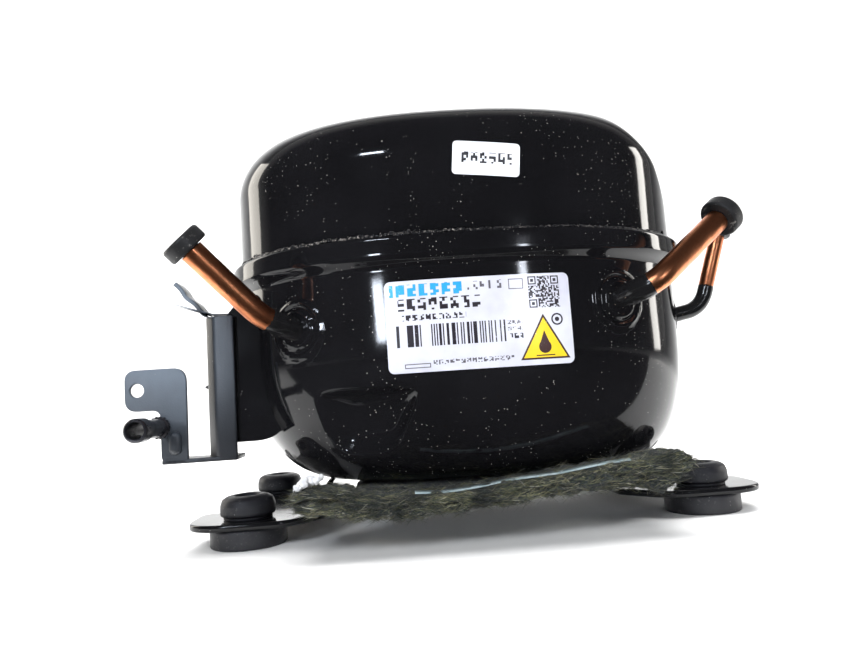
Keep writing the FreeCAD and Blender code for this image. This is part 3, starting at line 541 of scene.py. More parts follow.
def cells(tree, u, v, wide, high):
    """A random number for each cell of a grid, and the cell's column."""
    column = calc(tree, "FLOOR", calc(tree, "DIVIDE", u, wide))
    row = calc(tree, "FLOOR", calc(tree, "DIVIDE", v, high))
    where = node(tree, "CombineXYZ", {0: column, 1: row})
    return node(tree, "TexWhiteNoise", {"Vector": where.outputs[0]},
                noise_dimensions="2D").outputs["Value"], column


def dashes(tree, u, v, area, wide, high, fill, every=4.0):
    """A row of plain block marks: random cells of an area, with every last column left empty."""
    chance, column = cells(tree, u, v, wide, high)
    gap = calc(tree, "LESS_THAN", calc(tree, "FLOORED_MODULO", column, every), every - 1.5)
    return product(tree, patch(tree, u, v, *area), calc(tree, "LESS_THAN", chance, fill), gap)


def finder(tree, u, v, x, y, half):
    """A square ring round a square dot."""
    ring = calc(tree, "SUBTRACT", patch(tree, u, v, x - half, x + half, y - half, y + half),
                patch(tree, u, v, x - half * 0.7, x + half * 0.7, y - half * 0.7, y + half * 0.7))
    return calc(tree, "ADD", ring, patch(tree, u, v, x - half * 0.36, x + half * 0.36, y - half * 0.36,
                                         y + half * 0.36))


def sign_distance(tree, u, v, middle, base, apex, half):
    """Distance inside an upright triangle: the lesser of height over its base and depth behind its sides."""
    slope = (apex - base) / half
    away = calc(tree, "ABSOLUTE", calc(tree, "SUBTRACT", u, middle))
    side = calc(tree, "SUBTRACT", calc(tree, "SUBTRACT", apex, v), calc(tree, "MULTIPLY", away, slope))
    side = calc(tree, "DIVIDE", side, math.hypot(1, slope))
    return calc(tree, "MINIMUM", calc(tree, "SUBTRACT", v, base), side), away


def plate_print():
    """Silvery film printed with plain bars, dashes, squares and a yellow triangle, with a worn sheen."""
    material, tree, shader = blank("nameplate film")
    u, v = read_value(tree, "across"), read_value(tree, "up")
    place = place_on(tree)
    paper = mixed(tree, spread(tree, noise(tree, place, 90, 4), 0.35, 0.65), (0.56, 0.56, 0.64, 1),
                  (0.66, 0.67, 0.76, 1))
    title = dashes(tree, u, v, (1.6, 26, 25.2, 29.2), 0.95, 1.0, 0.74)
    colour = mixed(tree, title, paper, CYAN)
    dark = [dashes(tree, u, v, (4.2, 32, 20.4, 24.4), 0.9, 1.0, 0.66),
            dashes(tree, u, v, (5.4, 26.5, 17.1, 19.0), 0.55, 0.62, 0.62),
            dashes(tree, u, v, (39.8, 45, 9.2, 10.9), 0.5, 0.56, 0.66)]
    bars, _ = cells(tree, u, calc(tree, "MULTIPLY", v, 0.0), 0.42, 1.0)
    dark.append(product(tree, patch(tree, u, v, 3.2, 39.2, 8.4, 15.6), calc(tree, "LESS_THAN", bars, 0.52)))
    squares, _ = cells(tree, u, v, 0.46, 0.46)
    dots = product(tree, patch(tree, u, v, 47.8, 58.4, 19, 29.6), calc(tree, "LESS_THAN", squares, 0.5))
    corners = [(49.2, 28.2), (57.0, 28.2), (49.2, 20.4)]
    for x, y in corners:
        dots = product(tree, dots, calc(tree, "SUBTRACT", 1.0,
                                        patch(tree, u, v, x - 1.8, x + 1.8, y - 1.8, y + 1.8)))
    dark.append(dots)
    dark += [finder(tree, u, v, x, y, 1.4) for x, y in corners]
    away_x, away_y = calc(tree, "SUBTRACT", u, 56.9), calc(tree, "SUBTRACT", v, 14.9)
    reach = calc(tree, "SQRT", calc(tree, "ADD", calc(tree, "MULTIPLY", away_x, away_x),
                                    calc(tree, "MULTIPLY", away_y, away_y)))
    dark += [calc(tree, "COMPARE", reach, 1.75, 0.27), calc(tree, "LESS_THAN", reach, 0.75)]
    ink = dark[0]
    for mask in dark[1:]:
        ink = calc(tree, "MAXIMUM", ink, mask)
    colour = mixed(tree, ink, colour, INK)
    thin = [dashes(tree, u, v, (27.5, 40.2, 26.2, 29), 0.72, 0.93, 0.5),
            dashes(tree, u, v, (39.8, 45, 11.9, 13.1), 0.4, 0.42, 0.5),
            dashes(tree, u, v, (39.8, 45, 14, 15.2), 0.4, 0.42, 0.5),
            dashes(tree, u, v, (14.8, 41.4, 2.2, 3.7), 0.46, 0.5, 0.56),
            calc(tree, "SUBTRACT", patch(tree, u, v, 5.4, 13.9, 1.4, 2.9),
                 patch(tree, u, v, 5.7, 13.6, 1.7, 2.6)),
            calc(tree, "SUBTRACT", patch(tree, u, v, 41.2, 46.2, 25.6, 29.1),
                 patch(tree, u, v, 41.5, 45.9, 25.9, 28.8))]
    grey = thin[0]
    for mask in thin[1:]:
        grey = calc(tree, "MAXIMUM", grey, mask)
    colour = mixed(tree, grey, colour, GREY_INK)
    inside, away = sign_distance(tree, u, v, 52.1, 1.8, 16.9, 8.5)
    colour = mixed(tree, calc(tree, "GREATER_THAN", inside, 0.0), colour, (0.05, 0.018, 0.016, 1))
    colour = mixed(tree, calc(tree, "GREATER_THAN", inside, 0.62), colour, SIGN_YELLOW)
    up = calc(tree, "SUBTRACT", v, 5.9)
    drop = calc(tree, "ADD", calc(tree, "MULTIPLY", away, away), calc(tree, "MULTIPLY", up, up))
    drop = calc(tree, "LESS_THAN", drop, 4.6)
    tip = product(tree, calc(tree, "LESS_THAN", away,
                             calc(tree, "MULTIPLY", calc(tree, "SUBTRACT", 11.4, v), 0.38)),
                  calc(tree, "GREATER_THAN", v, 6.0))
    mark = calc(tree, "MAXIMUM", calc(tree, "MAXIMUM", drop, tip), patch(tree, u, v, 48.9, 55.3, 2.9, 3.3))
    colour = mixed(tree, mark, colour, (0.05, 0.018, 0.016, 1))
    scuff = product(tree, spread(tree, noise(tree, place, 1800, 2), 0.66, 0.7),
                    spread(tree, noise(tree, place, 120, 3), 0.5, 0.7))
    colour = mixed(tree, scuff, colour, (0.72, 0.72, 0.8, 1))
    feed(tree, shader, Base_Color=colour, Roughness=spread(tree, noise(tree, place, 150, 3), 0.3, 0.7, 0.3,
                                                           0.42),
         Metallic=0.15, Coat_Weight=0.25, Coat_Roughness=0.18)
    bumped(tree, shader, noise(tree, place, 160, 2), 0.12, 0.0005)
    return material


def sticker_paper():
    """White glossy paper with a row of plain block marks."""
    material, tree, shader = blank("sticker paper")
    u, v = read_value(tree, "across"), read_value(tree, "up")
    place = place_on(tree)
    paper = mixed(tree, spread(tree, noise(tree, place, 200, 3), 0.3, 0.7), (0.78, 0.8, 0.86, 1),
                  (0.86, 0.88, 0.93, 1))
    marks = dashes(tree, u, v, (2.6, 20.4, 4.1, 7.9), 0.78, 0.95, 0.6)
    feed(tree, shader, Base_Color=mixed(tree, marks, paper, (0.03, 0.03, 0.035, 1)),
         Roughness=spread(tree, noise(tree, place, 300, 2), 0.3, 0.7, 0.24, 0.34))
    bumped(tree, shader, noise(tree, place, 500, 2), 0.08, 0.0003)
    return material


film("nameplate_film", PLATE_SIZE, PLATE_MIDDLE, 2.0, 0, pot_front, 0.24 * MM, plate_print(),
     ("nameplate",), steps=(120, 60))
film("plain_sticker_film", STICKER_SIZE, STICKER_MIDDLE, 1.4, STICKER_TURN, cap_front, 0.22 * MM,
     sticker_paper(), ("plain_sticker",), steps=(60, 40))

# ---- Tubes, bushes and plugs -------------------------------------------------------------------------
# Three bent copper stubs brazed into steel bushes in the wall. The dip coats the first stretch of each
# and stops at a masked edge; the bare copper is drawn, handled and a little tarnished. Rubber plugs
# with a rounded, dished head close the ends until the unit is fitted.

TUBES = {
    "process": ((-60, -57, 75), (-70, -67, 78), (-90.5, -78, 100.5), 4, 13.5),
    "suction": ((50, -62.5, 78.5), (59.5, -75, 81.5), (88, -65, 104), 4, 14.5),
    "discharge": ((86.5, -17, 75.5), (100.5, -17, 78.3), (110.5, -17, 108), 3, 22.5),
}
TUBE_WALL = 0.8 * MM


def frame_round(direction):
    """Two unit vectors square to a direction, so that first x second = direction."""
    direction = unit(np.array(direction, dtype=float))
    helper = np.array([0, 0, 1.0]) if abs(direction[2]) < 0.9 else np.array([1.0, 0, 0])
    first = unit(np.cross(helper, direction))
    return first, np.cross(direction, first), direction


def lathe(profile, at, direction, columns=64, poles=(True, True)):
    """A profile of (radius, distance along) turned about an axis, as points and faces."""
    profile = np.array(profile, dtype=float)
    first, second, ahead = frame_round(direction)
    turn = np.linspace(0, 2 * np.pi, columns, endpoint=False)
    circle = np.cos(turn)[:, None] * first + np.sin(turn)[:, None] * second
    grid = np.array(at) + profile[:, 0, None, None] * circle + profile[:, 1, None, None] * ahead
    return rings(grid, poles=poles)


def eased(points, radius, steps=5, closed=False):
    """Corners rounded by a quadratic curve from a point before each corner to one after it."""
    points = np.array(points, dtype=float)
    count = len(points)
    rows = [] if closed else [points[:1]]
    t = np.linspace(0, 1, steps)[:, None]
    for i in range(0 if closed else 1, count if closed else count - 1):
        corner, before, after = points[i], points[i - 1] - points[i], points[(i + 1) % count] - points[i]
        size = radius[i] if np.ndim(radius) else radius
        start = corner + before * min(0.49, size / np.linalg.norm(before))
        end = corner + after * min(0.49, size / np.linalg.norm(after))
        rows.append((1 - t) ** 2 * start + 2 * t * (1 - t) * corner + t * t * end)
    if not closed:
        rows.append(points[-1:])
    return np.concatenate(rows)


def bent_line(start, elbow, end, before=0.0):
    """A straight run, a tangent arc of 0.45 of the shorter run, a straight run: points, headings, length."""
    start, elbow, end = [np.array(point, dtype=float) * MM for point in (start, elbow, end)]
    first, last = unit(elbow - start), unit(end - elbow)
    turn = math.acos(first @ last)
    setback = 0.45 * min(np.linalg.norm(elbow - start), np.linalg.norm(end - elbow))
    radius = setback / math.tan(turn / 2)
    inward = unit(last - first)
    centre = elbow + inward * radius / math.cos(turn / 2)
    enter, leave = elbow - first * setback, elbow + last * setback
    angle = np.linspace(0, turn, 16)[:, None]
    spoke = unit(enter - centre)
    arc = centre + radius * (np.cos(angle) * spoke + np.sin(angle) * first)
    runs = [np.linspace(start - first * before, enter, 26), arc[1:], np.linspace(leave, end, 60)[1:]]
    heads = [np.tile(first, (26, 1)), (-np.sin(angle) * spoke + np.cos(angle) * first)[1:],
             np.tile(last, (59, 1))]
    points = np.concatenate(runs)
    along = np.concatenate(([0], np.cumsum(np.linalg.norm(np.diff(points, axis=0), axis=1)))) - before
    return points, np.concatenate(heads), along, np.cross(first, last)


def tube_shape(name, columns=48):
    """A tube's outside along its line, round its rim and back down its bore, with its coat of paint."""
    start, elbow, end, radius, paint = TUBES[name]
    points, heads, along, side = bent_line(start, elbow, end, before=3 * MM)
    second = np.tile(unit(side), (len(points), 1))
    first = np.cross(second, heads)
    turn = np.linspace(0, 2 * np.pi, columns, endpoint=False)[None, :, None]
    circle = np.cos(turn) * first[:, None, :] + np.sin(turn) * second[:, None, :]
    edge = (paint + 0.35 * np.sin(3 * turn[..., 0] + len(name)) + 0.2 * np.sin(7 * turn[..., 0])) * MM
    coat = 0.13 * MM * (1 - smooth(along[:, None], edge - 0.3 * MM, edge + 0.1 * MM))
    dents = 0.04 * MM * waves(points[:, None, :] + circle * radius * MM, 9 * MM, 30 + radius)
    outside = points[:, None, :] + (radius * MM - 0.03 * MM + coat + dents)[..., None] * circle
    tip, ahead, last = points[-1], heads[-1], circle[-1]
    rim = [tip + ahead * out * MM + last * (radius * MM - inset * MM)
           for out, inset in ((0.12, 0.12), (0.15, 0.3), (0.15, 0.55), (0.05, 0.76))]
    bore = [tip - ahead * depth * MM + last * (radius * MM - TUBE_WALL) for depth in (0.5, 4, 10)]
    grid = np.concatenate((outside, np.array(rim + bore)))
    length = np.concatenate((np.repeat(along[:, None], columns, axis=1),
                             np.full((len(rim) + len(bore), columns), along[-1])))
    return grid, length


def copper_finish(name, paint):
    """Drawn copper, bright with finger-dulled and sanded patches, under black paint up to a masked edge."""
    material, tree, shader = blank(name)
    place = place_on(tree)
    along = read_value(tree, "along")
    wobble = spread(tree, noise(tree, place, 500, 3), 0.3, 0.7, -0.25 * MM, 0.25 * MM)
    painted = calc(tree, "LESS_THAN", calc(tree, "ADD", along, wobble), paint * MM)
    tarnish = spread(tree, noise(tree, place, 95, 5, 0.6), 0.4, 0.66)
    spots = spread(tree, noise(tree, place, 700, 4, 0.7), 0.66, 0.72)
    copper = mixed(tree, tarnish, (0.78, 0.3, 0.14, 1), (0.5, 0.165, 0.075, 1))
    copper = mixed(tree, calc(tree, "MULTIPLY", spots, 0.6), copper, (0.16, 0.055, 0.03, 1))
    specks = placed(tree, DUST, {"Place": place, "Scale": 700.0, "Amount": 0.9, "Size": 0.13}).outputs[0]
    colour = mixed(tree, painted, copper, (0.007, 0.007, 0.0075, 1))
    colour = mixed(tree, calc(tree, "MULTIPLY", specks, 0.6), colour, (0.55, 0.4, 0.3, 1))
    bare_rough = spread(tree, tarnish, 0, 1, 0.3, 0.44)
    rough = node(tree, "Mix", {0: painted, 2: bare_rough, 3: 0.16}).outputs[0]
    feed(tree, shader, Base_Color=colour, Roughness=rough, Metallic=calc(tree, "SUBTRACT", 1.0, painted))
    grain = node(tree, "Mapping", {"Vector": place, "Scale": (1.0, 1.0, 0.35)}).outputs[0]
    height = calc(tree, "ADD", noise(tree, grain, 900, 3),
                  calc(tree, "MULTIPLY", noise(tree, place, 170, 2), 0.8))
    bumped(tree, shader, height, 0.22, 0.0002)
    return material


def rubber_finish(name, scuff=0.5, colour=(0.012, 0.012, 0.013, 1)):
    """Moulded black rubber: matt, with pale scuffs and a fine grain."""
    material, tree, shader = blank(name)
    place = place_on(tree)
    scratches = noise(tree, node(tree, "Mapping", {"Vector": place, "Scale": (1, 0.3, 1)}).outputs[0], 900,
                      5, 0.7)
    worn = product(tree, spread(tree, scratches, 0.58, 0.64),
                   spread(tree, noise(tree, place, 140, 3), 0.45, 0.62), scuff)
    specks = placed(tree, DUST, {"Place": place, "Scale": 900.0, "Amount": 1.0, "Size": 0.13}).outputs[0]
    tint = mixed(tree, worn, colour, (0.17, 0.16, 0.15, 1))
    feed(tree, shader, Base_Color=mixed(tree, calc(tree, "MULTIPLY", specks, 0.7), tint,
                                        (0.35, 0.34, 0.32, 1)),
         Roughness=spread(tree, noise(tree, place, 220, 4), 0.3, 0.7, 0.38, 0.62))
    bumped(tree, shader, calc(tree, "ADD", noise(tree, place, 1600, 3), worn), 0.35, 0.00012)
    return material


PLUG_RUBBER = rubber_finish("plug rubber", scuff=1.0)
BUSH_PAINT = black_paint("bush paint", peel=0.1, dust=0.6, gloss=(0.08, 0.16))
for tube_name, (_, elbow, end, radius, paint) in TUBES.items():
    tube_grid, length = tube_shape(tube_name)
    make(tube_name + "_tube_bent", rings(tube_grid, poles=(False, False)),
         copper_finish(tube_name + " copper", paint), replaces=(tube_name + "_tube",), sharp=50,
         values={"along": length.reshape(-1)})
    root, out = tube_root(tube_name)
    bush = np.array([(radius + 0.02, -8), (radius + 1.6, -8), (radius + 1.6, -0.4), (radius + 1.3, 0.7),
                     (radius + 0.9, 1.35), (radius + 0.5, 1.6), (radius - 0.15, 1.75)]) * MM
    make(tube_name + "_braze", lathe(eased(bush, 0.3 * MM), root, out, columns=56, poles=(False, False)),
         BUSH_PAINT, replaces=(tube_name + "_bush",), sharp=50)
    head, spigot = (7, radius - 0.86) if radius == 4 else (5, radius - 0.86)
    profile = [(spigot - 0.4, -9), (spigot, -8.6), (spigot, 0.3), (head - 0.5, 0.3), (head, 0.9),
               (head, 4.7),
               (head - 0.6, 5.4), (head - 1.8, 5.48), (head - 2.5, 4.95), (0.8, 4.7)]
    heading = unit(np.array(end, dtype=float) - np.array(elbow))
    make(tube_name + "_plug_moulded", lathe(eased(np.array(profile) * MM, 0.4 * MM), np.array(end) * MM,
                                            heading),
         PLUG_RUBBER, body=tube_name + "_plug", replaces=(tube_name + "_plug",), sharp=50)

# ---- Base plates and feet ----------------------------------------------------------------------------
# Two pressed base plates, welded under the pot by a low saddle and dipped with it, with two holes each
# for the feet. The feet are one-piece rubber grommets: a disc to stand on, a neck and a domed head.

PLATE_INNER, PLATE_OUTER, PLATE_HALF, PLATE_LOW, PLATE_SHEET = 54, 106, 49, 7, 2.5
FOOT_X, FOOT_Y, SADDLE_HALF = 85, 35, 30


def sheet_part(loops, thickness, edge, at, across, up):
    """A flat sheet part: closed outlines filled, given thickness and eased edges, then set in its plane."""
    curve = bpy.data.curves.new("outline", "CURVE")
    curve.dimensions, curve.fill_mode = "2D", "BOTH"
    curve.extrude, curve.bevel_depth, curve.offset = (thickness / 2 - edge) * MM, edge * MM, -edge * MM
    curve.bevel_resolution = 2
    for loop in loops:
        spline = curve.splines.new("POLY")
        spline.points.add(len(loop) - 1)
        spline.points.foreach_set("co", np.pad(np.array(loop) * MM, ((0, 0), (0, 2))).reshape(-1))
        spline.use_cyclic_u = True
    holder = bpy.data.objects.new("outline", curve)
    mesh = bpy.data.meshes.new_from_object(holder)
    flat = np.empty(len(mesh.vertices) * 3)
    mesh.vertices.foreach_get("co", flat)
    flat = flat.reshape(-1, 3)
    across, up = np.array(across, dtype=float), np.array(up, dtype=float)
    axes = np.stack((across, up, np.cross(across, up)))
    faces = [list(face.vertices) for face in mesh.polygons]
    bpy.data.objects.remove(holder)
    bpy.data.curves.remove(curve)
    bpy.data.meshes.remove(mesh)
    return flat @ axes + np.array(at) * MM, faces


def circle(x, y, radius, steps=40):
    """Points of a circle."""
    turn = np.linspace(0, 2 * np.pi, steps, endpoint=False)
    return np.stack((x + radius * np.cos(turn), y + radius * np.sin(turn)), axis=1)


def base_plate(side):
    """The plate with rounded ears round its feet, its rolled edge, and the saddle under the pot."""
    notch = 18
    corner, taper = PLATE_INNER + 14, PLATE_HALF - 18
    outline = [(PLATE_INNER, -taper), (corner, -PLATE_HALF), (PLATE_OUTER, -PLATE_HALF),
               (PLATE_OUTER, -notch),
               (PLATE_OUTER - 16, -notch), (PLATE_OUTER - 16, notch), (PLATE_OUTER, notch),
               (PLATE_OUTER, PLATE_HALF),
               (corner, PLATE_HALF), (PLATE_INNER, taper)]
    rounding = [2, 8, 17, 6, 7, 7, 6, 17, 8, 2]
    loop = eased(outline, rounding, steps=12, closed=True) * (side, 1)
    holes = [circle(side * FOOT_X, y, 8.05) for y in (-FOOT_Y, FOOT_Y)]
    middle = PLATE_LOW + PLATE_SHEET / 2
    plate = sheet_part([loop] + holes, PLATE_SHEET, 0.8, (0, 0, middle), (1, 0, 0), (0, 1, 0))
    wall = eased([(-SADDLE_HALF, 8.5), (SADDLE_HALF, 8.5), (SADDLE_HALF, 19.7), (-SADDLE_HALF, 19.7)], 2,
                 closed=True)
    inner = sheet_part([wall], PLATE_SHEET, 0.5, (side * (PLATE_INNER + 1.25), 0, 0), (0, 1, 0), (0, 0, 1))
    return joined(plate, inner)


BASE_PAINT = black_paint("base paint", peel=0.12, dust=1.0, gloss=(0.06, 0.14))
FOOT_RUBBER = rubber_finish("foot rubber", scuff=0.35, colour=(0.011, 0.011, 0.014, 1))
FOOT_PROFILE = [(4, 0), (13.3, 0), (13.8, 0.6), (13.75, 6.3), (13.3, 6.95), (8.6, 6.98), (8, 7.4), (8, 9.3),
                (8.9, 9.6),
                (8.7, 10.6), (9.6, 10.8), (10, 11.6), (9.9, 14.6), (9.2, 16.6), (7.6, 17.6), (5.6, 17.98),
                (4.5, 17.7),
                (4, 16.9), (4, 0.02)]
for side, side_name in ((-1, "left"), (1, "right")):
    make("base_plate_pressed_" + side_name, base_plate(side), BASE_PAINT,
         replaces=("base_plate_" + side_name,), sharp=40)
    for across, end_name in ((-1, "front"), (1, "back")):
        foot = lathe(eased(np.array(FOOT_PROFILE) * MM, 0.5 * MM, steps=4),
                     (side * FOOT_X * MM, across * FOOT_Y * MM, 0),
                     (0, 0, 1), columns=72, poles=(False, False))
        make("foot_moulded_%s_%s" % (end_name, side_name), foot, FOOT_RUBBER,
             replaces=("foot_%s_%s" % (end_name, side_name),), sharp=60)

# ---- Controller bracket, earth standoff and terminal guard -------------------------------------------
# Folded 1.6 mm sheet beside the terminals: a post with a chamfered fold, a lower arm, a notched ear with
# a screw hole and an embossed rib, and a curled tab. A turned standoff is riveted to the ear. All is
# powder coated, with the orange peel that thick powder leaves.

FACE_Y, SHEET, ARM_DEPTH = -46, 1.6, 14
POST_LEFT, POST_RIGHT, POST_LOW, POST_TOP = -96.2, -85.6, 31.4, 83.2
EAR_LEFT, EAR_RIGHT, EAR_TOP, EAR_STEP, EAR_NECK = -124.6, -102.8, 65.4, 50.6, -112.3
EAR_HOLE, BOSS_AT, BOSS_BORE, BOSS_LENGTH = (-120.2, 58.1, 2.4), (-112.7, 44.5), 2.6, 23.5


def ribbon(line, thickness):
    """A line given thickness: its points moved half a thickness to each side along its own normals."""
    line = np.array(line, dtype=float)
    normal = unit(np.gradient(line, axis=0))[:, ::-1] * (-1, 1)
    return np.concatenate((line + normal * thickness / 2, (line - normal * thickness / 2)[::-1]))


def bracket_shape():
    """The post, arm, ear, tab, rib and spot nib as one shape."""
    fold = 3.6
    post = [(POST_RIGHT, FACE_Y), (POST_LEFT + fold, FACE_Y), (POST_LEFT, FACE_Y + fold),
            (POST_LEFT, FACE_Y + ARM_DEPTH), (POST_LEFT + SHEET, FACE_Y + ARM_DEPTH),
            (POST_LEFT + SHEET, FACE_Y + fold + 0.7), (POST_LEFT + fold + 0.7, FACE_Y + SHEET),
            (POST_RIGHT, FACE_Y + SHEET)]
    height = POST_TOP - POST_LOW
    parts = [sheet_part([eased(post[::-1], 1.0, closed=True)], height, 0.35, (0, 0, POST_LOW + height / 2),
                        (1, 0, 0), (0, 1, 0))]
    arm = [(EAR_NECK, FACE_Y), (POST_RIGHT, FACE_Y), (POST_RIGHT, FACE_Y + ARM_DEPTH),
           (EAR_NECK, FACE_Y + ARM_DEPTH)]
    parts.append(sheet_part([eased(arm, 1.2, closed=True)], SHEET, 0.4, (0, 0, POST_LOW + SHEET / 2),
                            (1, 0, 0), (0, 1, 0)))
    ear = [(EAR_RIGHT, POST_LOW), (EAR_RIGHT, EAR_TOP), (EAR_LEFT, EAR_TOP), (EAR_LEFT, EAR_STEP),
           (EAR_NECK, EAR_STEP), (EAR_NECK, POST_LOW)]
    loop = eased(ear, [2.4, 5, 4, 4.5, 3, 3.5], steps=10, closed=True)
    hole = circle(*EAR_HOLE)
    parts.append(sheet_part([loop, hole], SHEET, 0.45, (0, FACE_Y + SHEET / 2, 0), (1, 0, 0), (0, 0, 1)))
    tab = eased([(-87, 83.2), (-93.4, 83.4), (-96.2, 84), (-98.6, 88), (-102.2, 90.5), (-103.6, 93.6),
                 (-106, 96)], 2.4)
    parts.append(sheet_part([ribbon(tab, 1.5)], 10, 0.35, (0, FACE_Y + 5, 0), (1, 0, 0), (0, 0, 1)))
    half, rib_low, rib_high = 2.3, 36.8, 40.6
    turn = np.linspace(-np.pi / 2, np.pi / 2, 16)
    rib = [(half * math.cos(a), (rib_high if a > 0 else rib_low) + half * math.sin(a)) for a in turn]
    verts, faces = lathe(np.array(rib) * MM, (-107.2 * MM, 0, 0), (0, 0, 1), columns=32)
    verts[:, 1] = FACE_Y * MM + np.minimum(verts[:, 1], 0) * 0.62 + np.maximum(verts[:, 1], 0) * 0.2
    parts.append((verts, faces))
    nib = eased(np.array([(0, 0), (0.9, 0), (0.7, 1.2), (0.35, 1.9), (0, 2.1)]) * MM, 0.2 * MM)
    parts.append(lathe(nib, np.array((POST_LEFT, FACE_Y + 8, 58)) * MM, (-1, 0, 0), columns=20))
    return joined(*parts)


def standoff_shape():
    """A turned standoff: a toothed flange on the ear, a neck, and a chamfered head with a stepped bore."""
    depth = BOSS_LENGTH
    profile = [(BOSS_BORE, 0), (3.9, 0), (3.9, 1.1), (3.2, 1.5), (3.2, depth - 8), (3.95, depth - 7.2),
               (3.98, depth - 0.7),
               (3.4, depth), (3.0, depth - 0.05), (2.72, depth - 0.6), (BOSS_BORE, depth - 3.4),
               (BOSS_BORE, 0.05)]
    verts, faces = lathe(eased(np.array(profile) * MM, 0.25 * MM),
                         np.array((BOSS_AT[0], FACE_Y, BOSS_AT[1])) * MM,
                         (0, -1, 0), columns=72, poles=(False, False))
    across, up = verts[:, 0] - BOSS_AT[0] * MM, verts[:, 2] - BOSS_AT[1] * MM
    on_rim = (verts[:, 1] > (FACE_Y - 1.3) * MM) * (np.hypot(across, up) > 3.5 * MM)
    tooth = 1 + 0.045 * np.cos(18 * np.arctan2(up, across)) * on_rim
    verts[:, 0], verts[:, 2] = BOSS_AT[0] * MM + across * tooth, BOSS_AT[1] * MM + up * tooth
    return verts, faces


def powder_coat(name):
    """Powder coat: near black with a blue cast, a deep orange peel and a satin gloss, plus a painted
    blue-grey reflection on the front face that is strongest on the ear and higher up.
    """
    material, tree, shader = blank(name)
    place = place_on(tree)
    coat = placed(tree, PAINT, {"Place": place, "Peel": 1.0})
    specks = placed(tree, DUST, {"Place": place, "Scale": 600.0, "Amount": 1.0, "Size": 0.12}).outputs[0]
    level = node(tree, "SeparateXYZ", {0: place}).outputs[2]
    # Painted reflection: a light blue-grey sheen that grows from 40 mm to 64 mm up, is mottled by noise, is
    # full on the ear's front face and weaker on the post.
    painted_sheen = calc(tree, "MULTIPLY", spread(tree, level, 40 * MM, 64 * MM, 0.15, 1),
                 spread(tree, noise(tree, place, 60, 3), 0.3, 0.7, 0.6, 1))
    axes = node(tree, "SeparateXYZ", {0: place})
    on_face = spread(tree, axes.outputs[1], (FACE_Y + 0.5) * MM, (FACE_Y + 0.1) * MM)
    sheen_face_mask = calc(tree, "MULTIPLY", on_face, spread(tree, axes.outputs[0], -101 * MM, -98 * MM, 1,
                                                         0.3))
    # The painted reflection lifts the near-black coat towards light blue-grey; the specks below are real
    # dust.
    tint = mixed(tree, calc(tree, "MULTIPLY", painted_sheen, sheen_face_mask), (0.009, 0.01, 0.013, 1),
                 (0.12, 0.15, 0.19, 1))
    feed(tree, shader, Base_Color=mixed(tree, calc(tree, "MULTIPLY", specks, 0.7), tint,
                                        (0.3, 0.3, 0.3, 1)),
         Roughness=spread(tree, coat.outputs[1], 0.3, 0.7, 0.3, 0.42), IOR=1.6)
    bumped(tree, shader, calc(tree, "ADD", noise(tree, place, 1900, 2),
                              calc(tree, "MULTIPLY", coat.outputs[0], 0.2)), 0.28, 0.0002)
    return material


def dark_zinc(name):
    """Dark zinc-plated steel."""
    material, tree, shader = blank(name)
    place = place_on(tree)
    worn = spread(tree, noise(tree, place, 160, 4), 0.45, 0.7)
    feed(tree, shader, Base_Color=mixed(tree, worn, (0.02, 0.02, 0.024, 1), (0.075, 0.075, 0.085, 1)),
         Metallic=0.6,
         Roughness=spread(tree, noise(tree, place, 400, 3), 0.3, 0.7, 0.25, 0.42))
    bumped(tree, shader, noise(tree, place, 1200, 3), 0.3, 0.0001)
    return material


BRACKET_COAT = powder_coat("powder coat")
make("bracket_folded", bracket_shape(), BRACKET_COAT, replaces=("controller_bracket",),
     sharp=40)
make("standoff_turned", standoff_shape(), dark_zinc("standoff steel"), replaces=("ground_boss",),
     sharp=35)


def dress(material, *names):
    """CAD nodes kept as they are, given a finished material in all their slots."""
    for name in names:
        for material_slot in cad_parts[name].material_slots:
            material_slot.material = material


GUARD_HALF, GUARD_LEFT = 43, -94.4
GUARD_SIDE = ((-94.4, 37.4), (-74, 37.4), (-68, 43), (-68, 89), (-76, 91.5), (-86, 88), (-94.4, 74))


def guard_shape():
    """Two rounded cheeks and the strip between their lower edges."""
    outline = eased(GUARD_SIDE, [4, 6, 5, 3, 6, 12, 12], steps=10, closed=True)
    cheeks = [sheet_part([outline], SHEET, 0.4, (0, y, 0), (1, 0, 0), (0, 0, 1))
              for y in (-GUARD_HALF + SHEET / 2, GUARD_HALF - SHEET / 2)]
    strip = eased([(GUARD_LEFT, -GUARD_HALF + 0.4), (GUARD_LEFT + 6, -GUARD_HALF + 0.4),
                   (GUARD_LEFT + 6, GUARD_HALF - 0.4), (GUARD_LEFT, GUARD_HALF - 0.4)], 0.8, closed=True)
    return joined(*cheeks, sheet_part([strip], SHEET, 0.4, (0, 0, 37.4 + SHEET / 2), (1, 0, 0), (0, 1, 0)))


make("terminal_guard_folded", guard_shape(), BASE_PAINT, replaces=("terminal_guard",),
     sharp=40)

# ---- Felt mat ----------------------------------------------------------------------------------------
# A damping mat of pressed recycled fibre, folded double and pushed under the belly. It is loose and
# shaggy, its layers part at the left end, and its cut edges shed fibres of every colour.

MAT_LOW = ((-63.5, 15.6), (-60, 14.4), (-57.5, 13.9), (-49, 14), (-41, 12.2), (-31, 10.8), (-16, 11.9),
           (12, 13.9),
           (32, 16.2), (45, 15.4), (52, 15.7), (56, 12.8), (61, 15.4), (65, 19.7), (67.3, 22.6))
MAT_HIGH = ((-63.5, 22), (-62, 22.4), (-52, 21.6), (-41, 19.8), (-30, 18.5), (-16, 17.8), (0, 19),
            (24, 21.5),
            (48, 24.2), (63, 26), (66, 25.2), (67.3, 23.2))
MAT_FRONT, MAT_BACK, FIBRES = -76.4, -52.5, 26000


